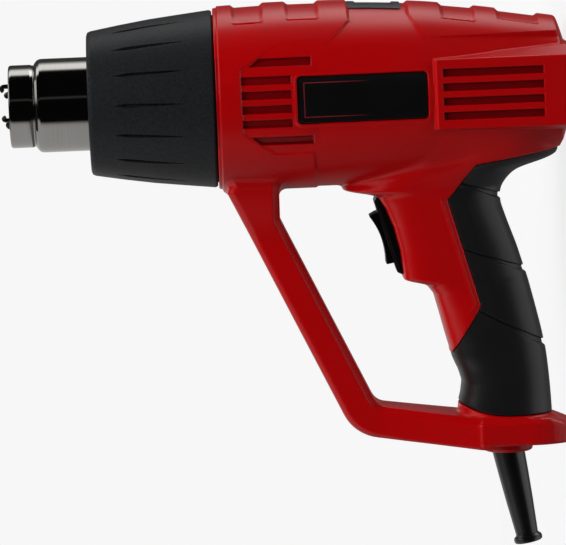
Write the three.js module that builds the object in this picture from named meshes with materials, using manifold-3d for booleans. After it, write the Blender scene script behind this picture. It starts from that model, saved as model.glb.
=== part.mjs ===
// A corded hot air tool: a pistol shaped blower with a chromed outlet tube, a black heat collar,
// a red housing in two halves, a soft grip, a closed hand loop and a rocker switch.
// The tool is drawn as it is held, in millimetres: x runs back along the barrel from the outlet rim,
// y runs to the tool's right and z is up, with the barrel's axis at z = 0.
// The last group stands it on its flat back with the outlet up, which is how it is set down to cool.
import * as THREE from 'three';
import Module from 'manifold-3d';
import { mergeVertices } from 'three/addons/utils/BufferGeometryUtils.js';

const wasm = await Module();
wasm.setup();

// Overall
const STAND = 236.2;            // outlet rim to the plane that the tool stands on
const fromStand = (points) => points.map(([ahead, z]) => [STAND - ahead, z]);
const GAP = 0.3;                // clearance between pieces that sit on each other
const WALL = 3.0;               // housing wall
const ROUND = 40;               // sides of the barrel's round sections
const ROUND_INSIDE = 24;        // sides of the hollow inside it

// Outlet tube and heater
const TUBE_FRONT_R = 17.5;      // accessory nozzles push on over this
const TUBE_REAR_R = 19.8;
const TUBE_WALL = 0.8;
const TUBE_STEP_START = 9.5;
const TUBE_STEP_END = 12.7;
const TUBE_REAR = 104;
const TUBE_FLANGE = 2;          // thickness of the flange behind the tube
const TUBE_FLANGE_R = 24;
const SLEEVE_WALL = 0.6;
const SLEEVE_FRONT = 13.5;
const ROD_RADIUS = 1.1;
const ROD_PITCH_R = 10.3;
const ROD_ANGLE = 29.4;         // degrees from the horizontal to the first rod
const ROD_COUNT = 4;
const ROD_FRONT = -3.2;         // the tips stand out of the outlet
const COIL_TURNS = 10;
const COIL_R = 13.4;
const COIL_WIRE_R = 0.55;
const COIL_FRONT = 22;
const COIL_REAR = 88;
const CORE_R = 12.3;            // half height of the crossed heater plates
const CORE_THICK = 0.9;
const CORE_FRONT = 18;

// Front collar
const COLLAR_FRONT = 33.5;
const COLLAR_REAR = 86.6;
const COLLAR_FRONT_R = 30.5;
const COLLAR_MID_R = 34.6;
const COLLAR_REAR_R = 37.5;
const COLLAR_WALL = 2.6;
const COLLAR_GROOVES = 16;
const GROOVE_FRONT = 44;
const GROOVE_REAR = 75.5;
const GROOVE_WIDTH = 2;
const GROOVE_DEPTH = 0.9;
const GROOVE_TURN = -0.8;       // degrees that the groove circle is turned
const GROOVE_WIDEST = 0.2;      // share of the groove's length to its widest place
const SPIGOT = 7;               // length of the collar inside the housing

// Barrel of the housing: half width, top and bottom at stations along the barrel
const BODY_FRONT = COLLAR_REAR + GAP + 0.1;
const BODY_REAR = STAND - 3;    // the round end, just in front of the standing frame
const ROUND_START = BODY_REAR - 7.2;  // where the barrel starts to round in
const BODY = [
  { at: BODY_FRONT, top: 38.9, bottom: 38.9, half: 38.9 },
  { at: 110, top: 39.8, bottom: 39.3, half: 39.0 },
  { at: 137, top: 39.7, bottom: 39.3, half: 38.6 },
  { at: 156, top: 39.0, bottom: 39.2, half: 37.8 },
  { at: 175, top: 37.8, bottom: 37.6, half: 36.4 },
  { at: BODY_REAR - 33.2, top: 34.6, bottom: 33.0, half: 33.6 },
  { at: ROUND_START, top: 30.3, bottom: 27.4, half: 30.4 },
  { at: BODY_REAR - 2.8, top: 28.8, bottom: 25.8, half: 28.8 },
  { at: BODY_REAR, top: 22.4, bottom: 20.0, half: 23.0 },
];

// Cross ribs on top: shallow pockets between raised bars, and the long middle recess for the plate
const POCKET_DEPTH = 1.2;
const POCKETS = [
  { front: 94.6, rear: 108.2, half: 22.8 },
  { front: 117.2, rear: 131.4, half: 22 },
  { front: STAND - 54, rear: STAND - 39, half: 19.4 },
  { front: STAND - 30.2, rear: STAND - 12.2, half: 15.4 },
];
const RECESS_FRONT = 142.8;
const RECESS_REAR = 169.2;
const RECESS_TOP = 33;          // height where the recess ends start to slant
const RECESS_LOW = 24;
const RECESS_SLANT = 6;
const PLATE_FRONT = 143.5;
const PLATE_REAR = 166;
const PLATE_HALF = 12.5;
const PLATE_THICK = 1.3;
const PLATE_BAR = 3.5;          // width of the raised frame on the plate

// Vents, the same on both sides
const VENT_HEIGHT = 3.2;
const VENT_PITCH = 6;
const FRONT_VENT = [97.7, 118.4];
const LONG_VENT = [101.2, 126.8];
const LONG_VENT_Z = 16.35;
const LONG_VENT_SLANT = 4.2;
const REAR_VENT = [STAND - 54.7, STAND - 12.8];
const VENT_ROWS = 4;

// Flared intake frame on both sides, which is also the standing face
const FLARE_FRONT = STAND - 58.4;
const FLARE_HALF_FRONT = 36.8;
const FLARE_HALF_REAR = 37.6;
const FLARE_TALL = 14.7;        // half height of the side face
const FLARE_ROOT_FRONT = 15.2;  // half height where the sloping faces meet the barrel
const FLARE_ROOT_REAR = 18.8;
const FLARE_ROOT_HALF = 27;

// Bare name plates
const LABEL_FRONT = 121;
const LABEL_REAR = FLARE_FRONT - 2.9;
const LABEL_HALF = 9.6;
const LABEL_CORNER = 1.6;
const LABEL_SINK = 0.5;         // how far the plate's face lies below the housing
const LABEL_THICK = 0.8;

// Handle: half width, and front and back edge ahead of the standing face, at heights below the axis
const HANDLE = [
  { z: -26, front: 86.2, back: 4, half: 27 },
  { z: -28.6, front: 87.2, back: 4.6, half: 26 },
  { z: -31, front: 88.2, back: 12.8, half: 25 },
  { z: -34, front: 89.2, back: 22.8, half: 23.6 },
  { z: -38.5, front: 99.2, back: 28.4, half: 21.6 },
  { z: -42, front: 95.7, back: 30, half: 20.2 },
  { z: -45.4, front: 85, back: 30.8, half: 19 },
  { z: -60, front: 79, back: 26.8, half: 17.2 },
  { z: -80.4, front: 72.2, back: 20.2, half: 16.6 },
  { z: -82.6, front: 62.6, back: 19.6, half: 16.6 },
  { z: -95, front: 58.6, back: 16.8, half: 16.6 },
  { z: -111, front: 53.8, back: 13.5, half: 16.8 },
  { z: -124, front: 50.4, back: 12.3, half: 17.4 },
  { z: -133, front: 51, back: 11.8, half: 18.2 },
  { z: -139.4, front: 51.6, back: 11.6, half: 19 },
];
const HANDLE_SQUARE = 2.7;      // how boxy the handle's section is
const GRIP_THICK = 2.8;
const GRIP_BOTTOM = -137.2;
const GRIP_GROOVES = [
  fromStand([[50.2, -37.8], [30.2, -45.6]]),
  fromStand([[47.2, -66.9], [19.2, -77.9]]),
  fromStand([[41.2, -93.6], [12.2, -109.8]]),
];
const GRIP_GROOVE_WIDTH = 1.5;
const GRIP_GROOVE_DEPTH = 1;
const GRIP_EDGE = fromStand([
  [-1.8, -25.4], [42.6, -30.6], [53.6, -45.4], [40.9, -91], [53.5, -111.2], [68.2, -111.2],
]);
const GRIP_BEYOND = fromStand([[68.2, -160], [-13.8, -160], [-13.8, -25]]);

// Hand loop: the front bar is square to this direction, at these distances from the outlet rim
const BAR_NORMAL = new THREE.Vector2(0.904, 0.427).normalize();
const BAR_OUTER = 64.8;
const BAR_INNER = 79.2;
const LOOP_TOP = -34;
const LOOP_STEM = 112;          // the inner face stands upright just under the barrel
const LOOP_HALF = 13;
const LOOP_EDGE = 4;            // rounding of the loop's edges
const LOOP_CORNER_OUTER = 18;
const LOOP_CORNER_INNER = 7;
const FOOT_LOW = fromStand([[85.4, -146], [51.6, -150.8]]);
const FOOT_HIGH = fromStand([[80.5, -133], [55.2, -137]]);
const LOOP_WALL = 3;

// Base of the handle with the heel and the cable gland
const BASE_FRONT = STAND - 52.2;
const BASE_WIDEN = STAND - 42.4;
const BASE_HALF = 21;
const BASE_CORNER = 14;
const BASE_TOP = -139.4;
const BASE_LOW = -150.8;
const BASE_EDGE = 1.6;
const GLAND_X = STAND - 31.3;
const GLAND_TILT = 9.6;         // degrees that the gland leans back
const GLAND_R = 10.4;
const GLAND_DROP = 4.2;
const RELIEF_BORE_R = 3.3;
const RELIEF_NECK_R = 6;
const RELIEF_TOP_R = 6.5;
const RELIEF_END_R = 4.15;
const RELIEF_LENGTH = 40;
const RELIEF_LIP_R = 5.7;
const RELIEF_LIP = 2;
const RELIEF_HEAD_R = 8.4;
const RELIEF_HEAD = 2.4;

// Rocker switch in the front of the handle, about its pivot
const SWITCH_X = STAND - 74.8;
const SWITCH_Z = -59.9;
const SWITCH_LEAN = 18.6;       // degrees from upright
const SWITCH_FACE = 4.1;        // pivot to the handle's front face
const FRAME_LENGTH = 34.2;
const FRAME_HALF = 9.5;
const FRAME_PROUD = 2.3;
const SWITCH_LENGTH = 29;
const SWITCH_HALF = 8.6;
const SWITCH_DEEP = 13;         // pivot to the switch's back
const ROCKER_LENGTH = 21;
const ROCKER_HALF = 6.4;
const ROCKER_TIP = 8.8;         // pivot to the rocker's tips
const ROCKER_MIDDLE = 6.4;      // pivot to the hollow between them
const PIT_LENGTH = 25.6;
const PIT_HALF = 7;
const PIT_DEEP = 9;
const CONTACT_AT = 6.6;         // pivot to the contact strip's own pivot
const CONTACT_LENGTH = 17;
const CONTACT_HALF = 3;
const CONTACT_THICK = 0.8;
const TERMINAL_COUNT = 3;
const TERMINAL_PITCH = 9;
const TERMINAL_LENGTH = 6;

// Blower
const MOTOR_R = 15.5;
const MOTOR_REAR = STAND - 17.2;
const MOTOR_FRONT = MOTOR_REAR - 33;
const MOTOR_CAP = 4;
const MOTOR_RIBS = [MOTOR_FRONT + 7, MOTOR_FRONT + 25];
const FAN_R = 29.4;
const FAN_HUB_R = 8;
const FAN_REAR = MOTOR_FRONT - 13;
const FAN_FRONT = FAN_REAR - 13;
const FAN_BLADES = 9;
const FAN_BLADE_THICK = 1.4;
const FAN_BLADE_TURN = 38;      // degrees
const SHAFT_R = 1.6;
const SHAFT_FRONT = FAN_FRONT - 3;
const GUIDE_R = 32.6;
const GUIDE_WALL = 1.6;
const GUIDE_FRONT = TUBE_REAR + TUBE_FLANGE + GAP;
const GUIDE_SHROUD = FAN_FRONT - 13;
const GUIDE_REAR = FAN_REAR + 3;
const RIB_THICK = 2.4;
const RIB_WINDOW = 12;          // half height of the rib's air windows
const BOARD_SIZE = [1.6, 22, 20];

// Housing screws, driven from the right, as places along and above the barrel's axis
const SCREW_HEAD_R = 3.1;
const SCREW_HEAD = 2.3;
const SCREW_R = 1.5;
const SCREW_SEAT = 8;           // the head's seat, right of the joint line
const SCREW_LENGTH = 16.5;
const BOSS_R = 4.6;
const SCREWS = {
  top_front: [99.6, 30.4],
  top_rear: [STAND - 13.2, 20.6],
  low_rear: [STAND - 26.2, -22.4],
  loop_stem: [103.5, -52],
  handle_upper: [STAND - 54.6, -39.4],
  handle_lower: [STAND - 51.8, -98],
  loop_corner: [151.5, -139.6],
  base: [STAND - 46.2, -144.2],
};

// Small pieces inside
const CLAMP = { x: STAND - 31.2, z: -130, long: 12, tall: 5, bore: 3.6 };
const CLAMP_SCREW_Y = 7.6;
const BLOCK = { x: STAND - 34.2, z: -114, long: 13, tall: 9 };
const CUTOUT = { front: GUIDE_FRONT + 2.7, long: 9, half: 4.5, tall: 4 };

const radians = THREE.MathUtils.degToRad;

// A closed solid from a geometry, with its faces turned outward
function solid(geometry) {
  const bare = geometry.clone();
  bare.deleteAttribute('normal');
  bare.deleteAttribute('uv');
  const merged = mergeVertices(bare, 1e-4);
  const points = merged.attributes.position;
  const corners = [];
  let volume = 0;
  const a = new THREE.Vector3();
  const b = new THREE.Vector3();
  const c = new THREE.Vector3();
  for (let i = 0; i < merged.index.count; i += 3) {
    const [p, q, r] = [merged.index.getX(i), merged.index.getX(i + 1), merged.index.getX(i + 2)];
    if (p === q || q === r || r === p) continue;
    corners.push(p, q, r);
    a.fromBufferAttribute(points, p);
    b.fromBufferAttribute(points, q);
    c.fromBufferAttribute(points, r);
    volume += a.dot(b.cross(c));
  }
  if (volume < 0) corners.reverse();
  return new wasm.Manifold(new wasm.Mesh({
    numProp: 3,
    vertProperties: new Float32Array(points.array),
    triVerts: new Uint32Array(corners),
  }));
}

function join(...solids) {
  return solids.reduce((sum, next) => sum.add(next));
}

function toGeometry(body) {
  const mesh = body.getMesh();
  const geometry = new THREE.BufferGeometry();
  geometry.setAttribute('position', new THREE.BufferAttribute(new Float32Array(mesh.vertProperties), 3));
  geometry.setIndex(new THREE.BufferAttribute(new Uint32Array(mesh.triVerts), 1));
  geometry.computeVertexNormals();
  return geometry;
}

function box(x0, x1, y0, y1, z0, z1) {
  const geometry = new THREE.BoxGeometry(x1 - x0, y1 - y0, z1 - z0);
  geometry.translate((x0 + x1) / 2, (y0 + y1) / 2, (z0 + z1) / 2);
  return solid(geometry);
}

// A body turned about the barrel's axis from a closed list of [x, radius]
function turned(profile, sides = 32) {
  const points = [...profile, profile[0]].map(([x, r]) => new THREE.Vector2(r, x));
  const geometry = new THREE.LatheGeometry(points, sides);
  geometry.rotateZ(-Math.PI / 2);
  return geometry;
}

function rod(x0, x1, radius, sides = 16) {
  const geometry = new THREE.CylinderGeometry(radius, radius, x1 - x0, sides);
  geometry.rotateZ(-Math.PI / 2);
  geometry.translate((x0 + x1) / 2, 0, 0);
  return geometry;
}

// A pin across the tool, from y0 to y1 at a place in the side view
function pin(x, z, y0, y1, radius, sides = 12) {
  const geometry = new THREE.CylinderGeometry(radius, radius, y1 - y0, sides);
  geometry.translate(x, (y0 + y1) / 2, z);
  return geometry;
}

// A side view outline with rounded corners: each point is [x, z] or [x, z, radius]
function outline(points) {
  const shape = new THREE.Shape();
  const count = points.length;
  points.forEach((point, i) => {
    const here = new THREE.Vector2(point[0], point[1]);
    const before = points[(i + count - 1) % count];
    const after = points[(i + 1) % count];
    const back = new THREE.Vector2(before[0], before[1]).sub(here).normalize();
    const ahead = new THREE.Vector2(after[0], after[1]).sub(here).normalize();
    const reach = point[2] ? point[2] / Math.tan(Math.acos(back.dot(ahead)) / 2) : 0;
    const start = here.clone().addScaledVector(back, reach);
    if (i === 0) shape.moveTo(start.x, start.y);
    else shape.lineTo(start.x, start.y);
    if (reach) {
      const end = here.clone().addScaledVector(ahead, reach);
      shape.quadraticCurveTo(here.x, here.y, end.x, end.y);
    }
  });
  shape.closePath();
  return shape;
}

// A slab of a side view outline between y0 and y1, with rounded edges if an edge is given
function slab(shape, y0, y1, edge = 0, steps = 2) {
  const geometry = new THREE.ExtrudeGeometry(shape, {
    depth: y1 - y0 - 2 * edge,
    curveSegments: 4,
    bevelEnabled: edge > 0,
    bevelThickness: edge,
    bevelSize: edge,
    bevelOffset: -edge,
    bevelSegments: steps,
  });
  geometry.rotateX(Math.PI / 2);
  geometry.translate(0, y1 - edge, 0);
  return geometry;
}

// A closed skin over rings: place(ring, angle) gives the point at a ring's angle
function skin(rings, sides, place) {
  const geometry = new THREE.CylinderGeometry(1, 1, 1, sides, rings - 1);
  const points = geometry.attributes.position;
  for (let i = 0; i < points.count; i += 1) {
    const ring = Math.round((0.5 - points.getY(i)) * (rings - 1));
    const across = Math.hypot(points.getX(i), points.getZ(i));
    const angle = Math.atan2(points.getZ(i), points.getX(i));
    const here = place(ring, angle);
    if (across < 0.5) {
      const far = place(ring, angle + Math.PI);
      here.add(far).multiplyScalar(0.5);
    }
    points.setXYZ(i, here.x, here.y, here.z);
  }
  return geometry;
}

function boxy(value, power) {
  return Math.sign(value) * Math.abs(value) ** (2 / power);
}

// The barrel, drawn in by an inset, between two places along it
function barrel(inset, front = BODY_FRONT, rear = BODY_REAR - inset, sides = ROUND) {
  const stations = [{ ...BODY[0], at: front }];
  stations.push(...BODY.slice(1).map((s) => ({ ...s, at: Math.min(s.at, rear) })));
  return solid(skin(stations.length, sides, (ring, angle) => {
    const s = stations[ring];
    const last = ring === stations.length - 1;
    const tall = (Math.sin(angle) > 0 ? s.top : s.bottom) - inset;
    const at = last ? rear : s.at - inset * Math.max(0, (s.at - ROUND_START) / (BODY_REAR - ROUND_START));
    return new THREE.Vector3(at, -(s.half - inset) * Math.cos(angle), tall * Math.sin(angle));
  }));
}

function flare(inset) {
  const rows = [
    { at: FLARE_FRONT + inset, half: FLARE_HALF_FRONT - inset, root: FLARE_ROOT_FRONT - inset },
    { at: STAND - inset, half: FLARE_HALF_REAR - inset, root: FLARE_ROOT_REAR - inset },
  ];
  const tall = FLARE_TALL - inset;
  const corners = rows.map((s) => [
    [-s.half, tall], [-FLARE_ROOT_HALF, s.root], [FLARE_ROOT_HALF, s.root], [s.half, tall],
    [s.half, -tall], [FLARE_ROOT_HALF, -s.root], [-FLARE_ROOT_HALF, -s.root], [-s.half, -tall],
  ]);
  return solid(skin(2, 8, (ring, angle) => {
    const turn = ((angle / (2 * Math.PI)) * 8 + 16) % 8;
    const low = Math.floor(turn + 1e-6) % 8;
    const part = Math.max(0, turn - Math.floor(turn + 1e-6));
    const [p, q] = [corners[ring][low], corners[ring][(low + 1) % 8]];
    const y = p[0] + (q[0] - p[0]) * part;
    const z = p[1] + (q[1] - p[1]) * part;
    return new THREE.Vector3(rows[ring].at, y, z);
  }));
}

function handle(inset, sides = 28, rows = HANDLE) {
  return solid(skin(rows.length, sides, (ring, angle) => {
    const s = rows[ring];
    const middle = STAND - (s.front + s.back) / 2;
    const deep = (s.front - s.back) / 2 - inset;
    const x = middle + deep * boxy(Math.cos(angle), HANDLE_SQUARE);
    const y = (s.half - inset) * boxy(Math.sin(angle), HANDLE_SQUARE);
    return new THREE.Vector3(x, y, s.z);
  }));
}

// Where two side view lines meet: each is a point and a direction
function crossing(p, d, q, e) {
  const along = ((q.x - p.x) * e.y - (q.y - p.y) * e.x) / (d.x * e.y - d.y * e.x);
  return p.clone().addScaledVector(d, along);
}

function handLoop(inset) {
  const down = new THREE.Vector2(BAR_NORMAL.y, -BAR_NORMAL.x);
  const outer = BAR_NORMAL.clone().multiplyScalar(BAR_OUTER + inset);
  const inner = BAR_NORMAL.clone().multiplyScalar(BAR_INNER - inset);
  const lowAt = new THREE.Vector2(FOOT_LOW[0][0], FOOT_LOW[0][1] + inset);
  const lowAlong = new THREE.Vector2(...FOOT_LOW[1]).sub(new THREE.Vector2(...FOOT_LOW[0]));
  const highAt = new THREE.Vector2(FOOT_HIGH[0][0], FOOT_HIGH[0][1] - inset);
  const highAlong = new THREE.Vector2(...FOOT_HIGH[1]).sub(new THREE.Vector2(...FOOT_HIGH[0]));
  const level = new THREE.Vector2(1, 0);
  const upright = new THREE.Vector2(0, 1);
  const stem = new THREE.Vector2(LOOP_STEM - inset, 0);
  const end = new THREE.Vector2(BASE_FRONT + 14 - inset, 0);
  const under = new THREE.Vector2(0, -BODY[1].bottom);
  const noseTop = crossing(outer, down, under, level);
  const corner = crossing(outer, down, lowAt, lowAlong);
  const heel = crossing(lowAt, lowAlong, end, upright);
  const step = crossing(highAt, highAlong, end, upright);
  const crook = crossing(inner, down, highAt, highAlong);
  const bend = crossing(inner, down, stem, upright);
  const round = Math.max(1, LOOP_CORNER_INNER - inset);
  return outline([
    [noseTop.x + 3, LOOP_TOP],
    [noseTop.x, noseTop.y],
    [corner.x, corner.y, LOOP_CORNER_OUTER - inset],
    [heel.x, heel.y],
    [step.x, step.y],
    [crook.x, crook.y, round],
    [bend.x, bend.y, round],
    [LOOP_STEM - inset, LOOP_TOP],
  ]);
}

function base(inset) {
  const half = BASE_HALF - inset;
  const corner = Math.max(2, BASE_CORNER - inset);
  const nose = LOOP_HALF - inset;
  const shape = outline([
    [BASE_FRONT + inset, -nose], [BASE_WIDEN + inset, -half, 4], [STAND - inset, -half, corner],
    [STAND - inset, half, corner], [BASE_WIDEN + inset, half, 4], [BASE_FRONT + inset, nose],
  ]);
  const low = BASE_LOW + inset;
  const edge = inset ? 0 : BASE_EDGE;
  const geometry = new THREE.ExtrudeGeometry(shape, {
    depth: BASE_TOP - low - 2 * edge,
    curveSegments: 4,
    bevelEnabled: edge > 0,
    bevelThickness: edge,
    bevelSize: edge,
    bevelOffset: -edge,
    bevelSegments: 2,
  });
  geometry.translate(0, 0, low + edge);
  return solid(geometry);
}

// A body turned about the gland's leaning axis: [drop below the base, radius]
function aboutGland(profile, sides = 20) {
  const points = [...profile, profile[0]].map(([drop, r]) => new THREE.Vector2(r, -drop));
  const geometry = new THREE.LatheGeometry(points, sides);
  geometry.rotateX(Math.PI / 2);
  geometry.rotateY(-radians(GLAND_TILT));
  geometry.translate(GLAND_X, 0, BASE_LOW);
  return solid(geometry);
}

// Places a geometry drawn about the switch's pivot: x inward, y across, z up along the frame
function atSwitch(geometry) {
  geometry.rotateY(-radians(SWITCH_LEAN));
  geometry.translate(SWITCH_X, 0, SWITCH_Z);
  return solid(geometry);
}

function switchBox(x0, x1, half, z0, z1) {
  const geometry = new THREE.BoxGeometry(x1 - x0, 2 * half, z1 - z0);
  geometry.translate((x0 + x1) / 2, 0, (z0 + z1) / 2);
  return atSwitch(geometry);
}

// Housing
const everywhere = 400;
const body = barrel(0);
const gripSide = slab(outline([...GRIP_EDGE, ...GRIP_BEYOND]), -60, 60);
const gripArea = solid(gripSide);
const gripInner = solid(gripSide.clone().translate(GAP, 0, -GAP));
const fullHandle = handle(0);
const loopBar = solid(slab(handLoop(0), -LOOP_HALF, LOOP_HALF, LOOP_EDGE));
const loopHollow = solid(slab(handLoop(LOOP_WALL), -LOOP_HALF + LOOP_WALL, LOOP_HALF - LOOP_WALL));
const glandCollar = aboutGland([[-1.5, 0], [GLAND_DROP, 0], [GLAND_DROP, GLAND_R - 0.8],
  [GLAND_DROP - 0.8, GLAND_R], [-1.5, GLAND_R]]);
const glandBore = aboutGland([
  [-9, 0], [GLAND_DROP + 3, 0], [GLAND_DROP + 3, RELIEF_NECK_R + GAP],
  [-RELIEF_HEAD / 2, RELIEF_NECK_R + GAP], [-RELIEF_HEAD / 2, RELIEF_HEAD_R + GAP],
  [-9, RELIEF_HEAD_R + GAP],
]);
const outside = join(
  body,
  flare(0),
  loopBar,
  base(0),
  glandCollar,
  fullHandle.subtract(gripArea.subtract(barrel(0))),
  handle(GRIP_THICK, 20),
);
const handWall = GRIP_THICK + WALL - 0.6;
const barrelHollow = barrel(WALL, BODY_FRONT - 5, BODY_REAR - WALL, ROUND_INSIDE);
const hollow = join(
  barrelHollow,
  flare(WALL),
  handle(handWall, 16, HANDLE.filter((s, i) => ![1, 2, 4, 10, 12, 13].includes(i))),
  loopHollow,
  base(WALL),
);

const bosses = [];
const holes = [];
for (const [x, z] of Object.values(SCREWS)) {
  bosses.push(solid(pin(x, z, -45, 45, BOSS_R, 8)));
  holes.push(solid(pin(x, z, SCREW_SEAT, 60, SCREW_HEAD_R + GAP)));
  holes.push(solid(pin(x, z, SCREW_SEAT - SCREW_LENGTH - 1, SCREW_SEAT + 1, SCREW_R + GAP, 8)));
}
const ribs = MOTOR_RIBS.map((x) => {
  const disc = barrel(WALL - 0.4, BODY_FRONT, BODY_REAR - WALL, ROUND_INSIDE)
    .intersect(box(x, x + RIB_THICK, -50, 50, -50, 50));
  const bore = solid(rod(x - 5, x + 10, MOTOR_R + GAP, ROUND));
  const window = box(x - 5, x + 10, -50, 50, -RIB_WINDOW, RIB_WINDOW);
  return disc.subtract(bore).subtract(window);
});
const keep = join(...bosses, ...ribs).intersect(outside);

const cuts = [...holes, glandBore];
for (const { front, rear, half } of POCKETS) {
  cuts.push(box(front, rear, -half, half, 15, 60).subtract(barrel(POCKET_DEPTH, 80)));
}
const recess = outline([
  [RECESS_FRONT - RECESS_SLANT, RECESS_LOW], [RECESS_REAR + RECESS_SLANT, RECESS_LOW],
  [RECESS_REAR, RECESS_TOP], [RECESS_REAR, 60], [RECESS_FRONT, 60], [RECESS_FRONT, RECESS_TOP],
]);
const plateFloor = POCKET_DEPTH + PLATE_THICK;
cuts.push(solid(slab(recess, -60, 60)).subtract(barrel(POCKET_DEPTH, 80)));
cuts.push(box(PLATE_FRONT - GAP, PLATE_REAR + GAP, -PLATE_HALF - GAP, PLATE_HALF + GAP, 15, 60)
  .subtract(barrel(plateFloor - 0.6, 80)));

const labelShape = (grow) => outline([
  [LABEL_FRONT - grow, -LABEL_HALF - grow, LABEL_CORNER],
  [LABEL_REAR + grow, -LABEL_HALF - grow, LABEL_CORNER],
  [LABEL_REAR + grow, LABEL_HALF + grow, LABEL_CORNER],
  [LABEL_FRONT - grow, LABEL_HALF + grow, LABEL_CORNER],
]);
const labelFloor = LABEL_SINK + LABEL_THICK + GAP;
cuts.push(solid(slab(labelShape(GAP), -60, 60)).subtract(barrel(labelFloor, 80)));

for (let row = 0; row < VENT_ROWS; row += 1) {
  const z = (row - (VENT_ROWS - 1) / 2) * VENT_PITCH;
  for (const [front, rear] of [FRONT_VENT, REAR_VENT]) {
    cuts.push(box(front, rear, -60, -20, z - VENT_HEIGHT / 2, z + VENT_HEIGHT / 2));
    cuts.push(box(front, rear, 20, 60, z - VENT_HEIGHT / 2, z + VENT_HEIGHT / 2));
  }
}
for (const side of [-1, 1]) {
  const near = side * (LONG_VENT_Z - VENT_HEIGHT / 2);
  const far = side * (LONG_VENT_Z + VENT_HEIGHT / 2);
  const vent = outline([
    [LONG_VENT[0], near], [LONG_VENT[1], near],
    [LONG_VENT[1], far], [LONG_VENT[0] + LONG_VENT_SLANT, far],
  ]);
  cuts.push(solid(slab(vent, -60, -20)));
  cuts.push(solid(slab(vent, 20, 60)));
}
const switchEnd = SWITCH_LENGTH / 2 + GAP;
cuts.push(switchBox(-20, SWITCH_DEEP + 12, SWITCH_HALF + GAP, -switchEnd, switchEnd));
cuts.push(switchBox(-30, -SWITCH_FACE, 30, -FRAME_LENGTH / 2 - GAP, FRAME_LENGTH / 2 + GAP));

const shell = outside.subtract(hollow.subtract(keep)).subtract(join(...cuts));
const leftHalf = shell.intersect(box(-100, everywhere, -100, -GAP / 2, -everywhere, everywhere));
const rightHalf = shell.intersect(box(-100, everywhere, GAP / 2, 100, -everywhere, everywhere));

// Soft grip halves
const gripSkin = fullHandle.intersect(gripInner)
  .subtract(handle(GRIP_THICK - GAP, 20))
  .subtract(barrel(-GAP, 60, BODY_REAR + 5))
  .subtract(flare(-GAP))
  .subtract(box(0, everywhere, -100, 100, -everywhere, GRIP_BOTTOM));
const gripFloor = handle(GRIP_GROOVE_DEPTH);
const gripCuts = GRIP_GROOVES.map(([from, to]) => {
  const along = new THREE.Vector2(to[0] - from[0], to[1] - from[1]).normalize();
  const [dx, dz] = [(along.y * GRIP_GROOVE_WIDTH) / 2, (-along.x * GRIP_GROOVE_WIDTH) / 2];
  const shape = outline([
    [from[0] - dx, from[1] - dz], [to[0] - dx, to[1] - dz],
    [to[0] + dx, to[1] + dz], [from[0] + dx, from[1] + dz],
  ]);
  return solid(slab(shape, -60, 60)).subtract(gripFloor);
});
const gripGrooved = gripSkin.subtract(join(...gripCuts));
const gripLeft = gripGrooved.intersect(box(0, everywhere, -100, -GAP / 2, -everywhere, everywhere));
const gripRight = gripGrooved.intersect(box(0, everywhere, GAP / 2, 100, -everywhere, everywhere));

// Plates
const plateInner = PLATE_HALF - PLATE_BAR;
const topPlate = barrel(POCKET_DEPTH - 0.5, 80)
  .intersect(box(PLATE_FRONT, PLATE_REAR, -PLATE_HALF, PLATE_HALF, 15, 60))
  .subtract(barrel(plateFloor - 0.6 - GAP, 70))
  .subtract(box(PLATE_FRONT + PLATE_BAR, PLATE_REAR - PLATE_BAR, -plateInner, plateInner, 15, 60)
    .subtract(barrel(POCKET_DEPTH - 0.1, 80)));
const labelSkin = barrel(LABEL_SINK, 80)
  .subtract(barrel(labelFloor - GAP, 70))
  .intersect(solid(slab(labelShape(0), -60, 60)));
const labelLeft = labelSkin.intersect(box(0, everywhere, -100, 0, -50, 50));
const labelRight = labelSkin.intersect(box(0, everywhere, 0, 100, -50, 50));

// Collar
const collarBore = TUBE_REAR_R + GAP;
const spigotR = BODY[0].half - WALL - 2 * GAP;
let collar = solid(turned([
  [COLLAR_FRONT, collarBore], [COLLAR_FRONT, COLLAR_FRONT_R - 1.6],
  [COLLAR_FRONT + 0.5, COLLAR_FRONT_R - 0.5],
  [COLLAR_FRONT + 1.7, COLLAR_FRONT_R], [(COLLAR_FRONT + COLLAR_REAR) / 2, COLLAR_MID_R],
  [COLLAR_REAR - 1, COLLAR_REAR_R], [COLLAR_REAR, COLLAR_REAR_R - 0.6],
  [COLLAR_REAR, spigotR], [COLLAR_REAR + SPIGOT, spigotR],
  [COLLAR_REAR + SPIGOT, spigotR - COLLAR_WALL],
  [COLLAR_REAR - 4, spigotR - COLLAR_WALL],
  [COLLAR_FRONT + 6, COLLAR_FRONT_R - COLLAR_WALL - 0.4], [COLLAR_FRONT + COLLAR_WALL, COLLAR_FRONT_R - 6],
  [COLLAR_FRONT + COLLAR_WALL, collarBore],
], 32));
const grooveLength = GROOVE_REAR - GROOVE_FRONT;
const collarRise = (COLLAR_REAR_R - COLLAR_FRONT_R) / (COLLAR_REAR - COLLAR_FRONT);
const collarAt = (x) => {
  const middle = (COLLAR_FRONT + COLLAR_REAR) / 2;
  const ahead = (x - COLLAR_FRONT) / (middle - COLLAR_FRONT);
  const behind = (x - middle) / (COLLAR_REAR - middle);
  if (x < middle) return COLLAR_FRONT_R + (COLLAR_MID_R - COLLAR_FRONT_R) * ahead;
  return COLLAR_MID_R + (COLLAR_REAR_R - COLLAR_MID_R) * behind;
};
const grooves = [];
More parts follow.
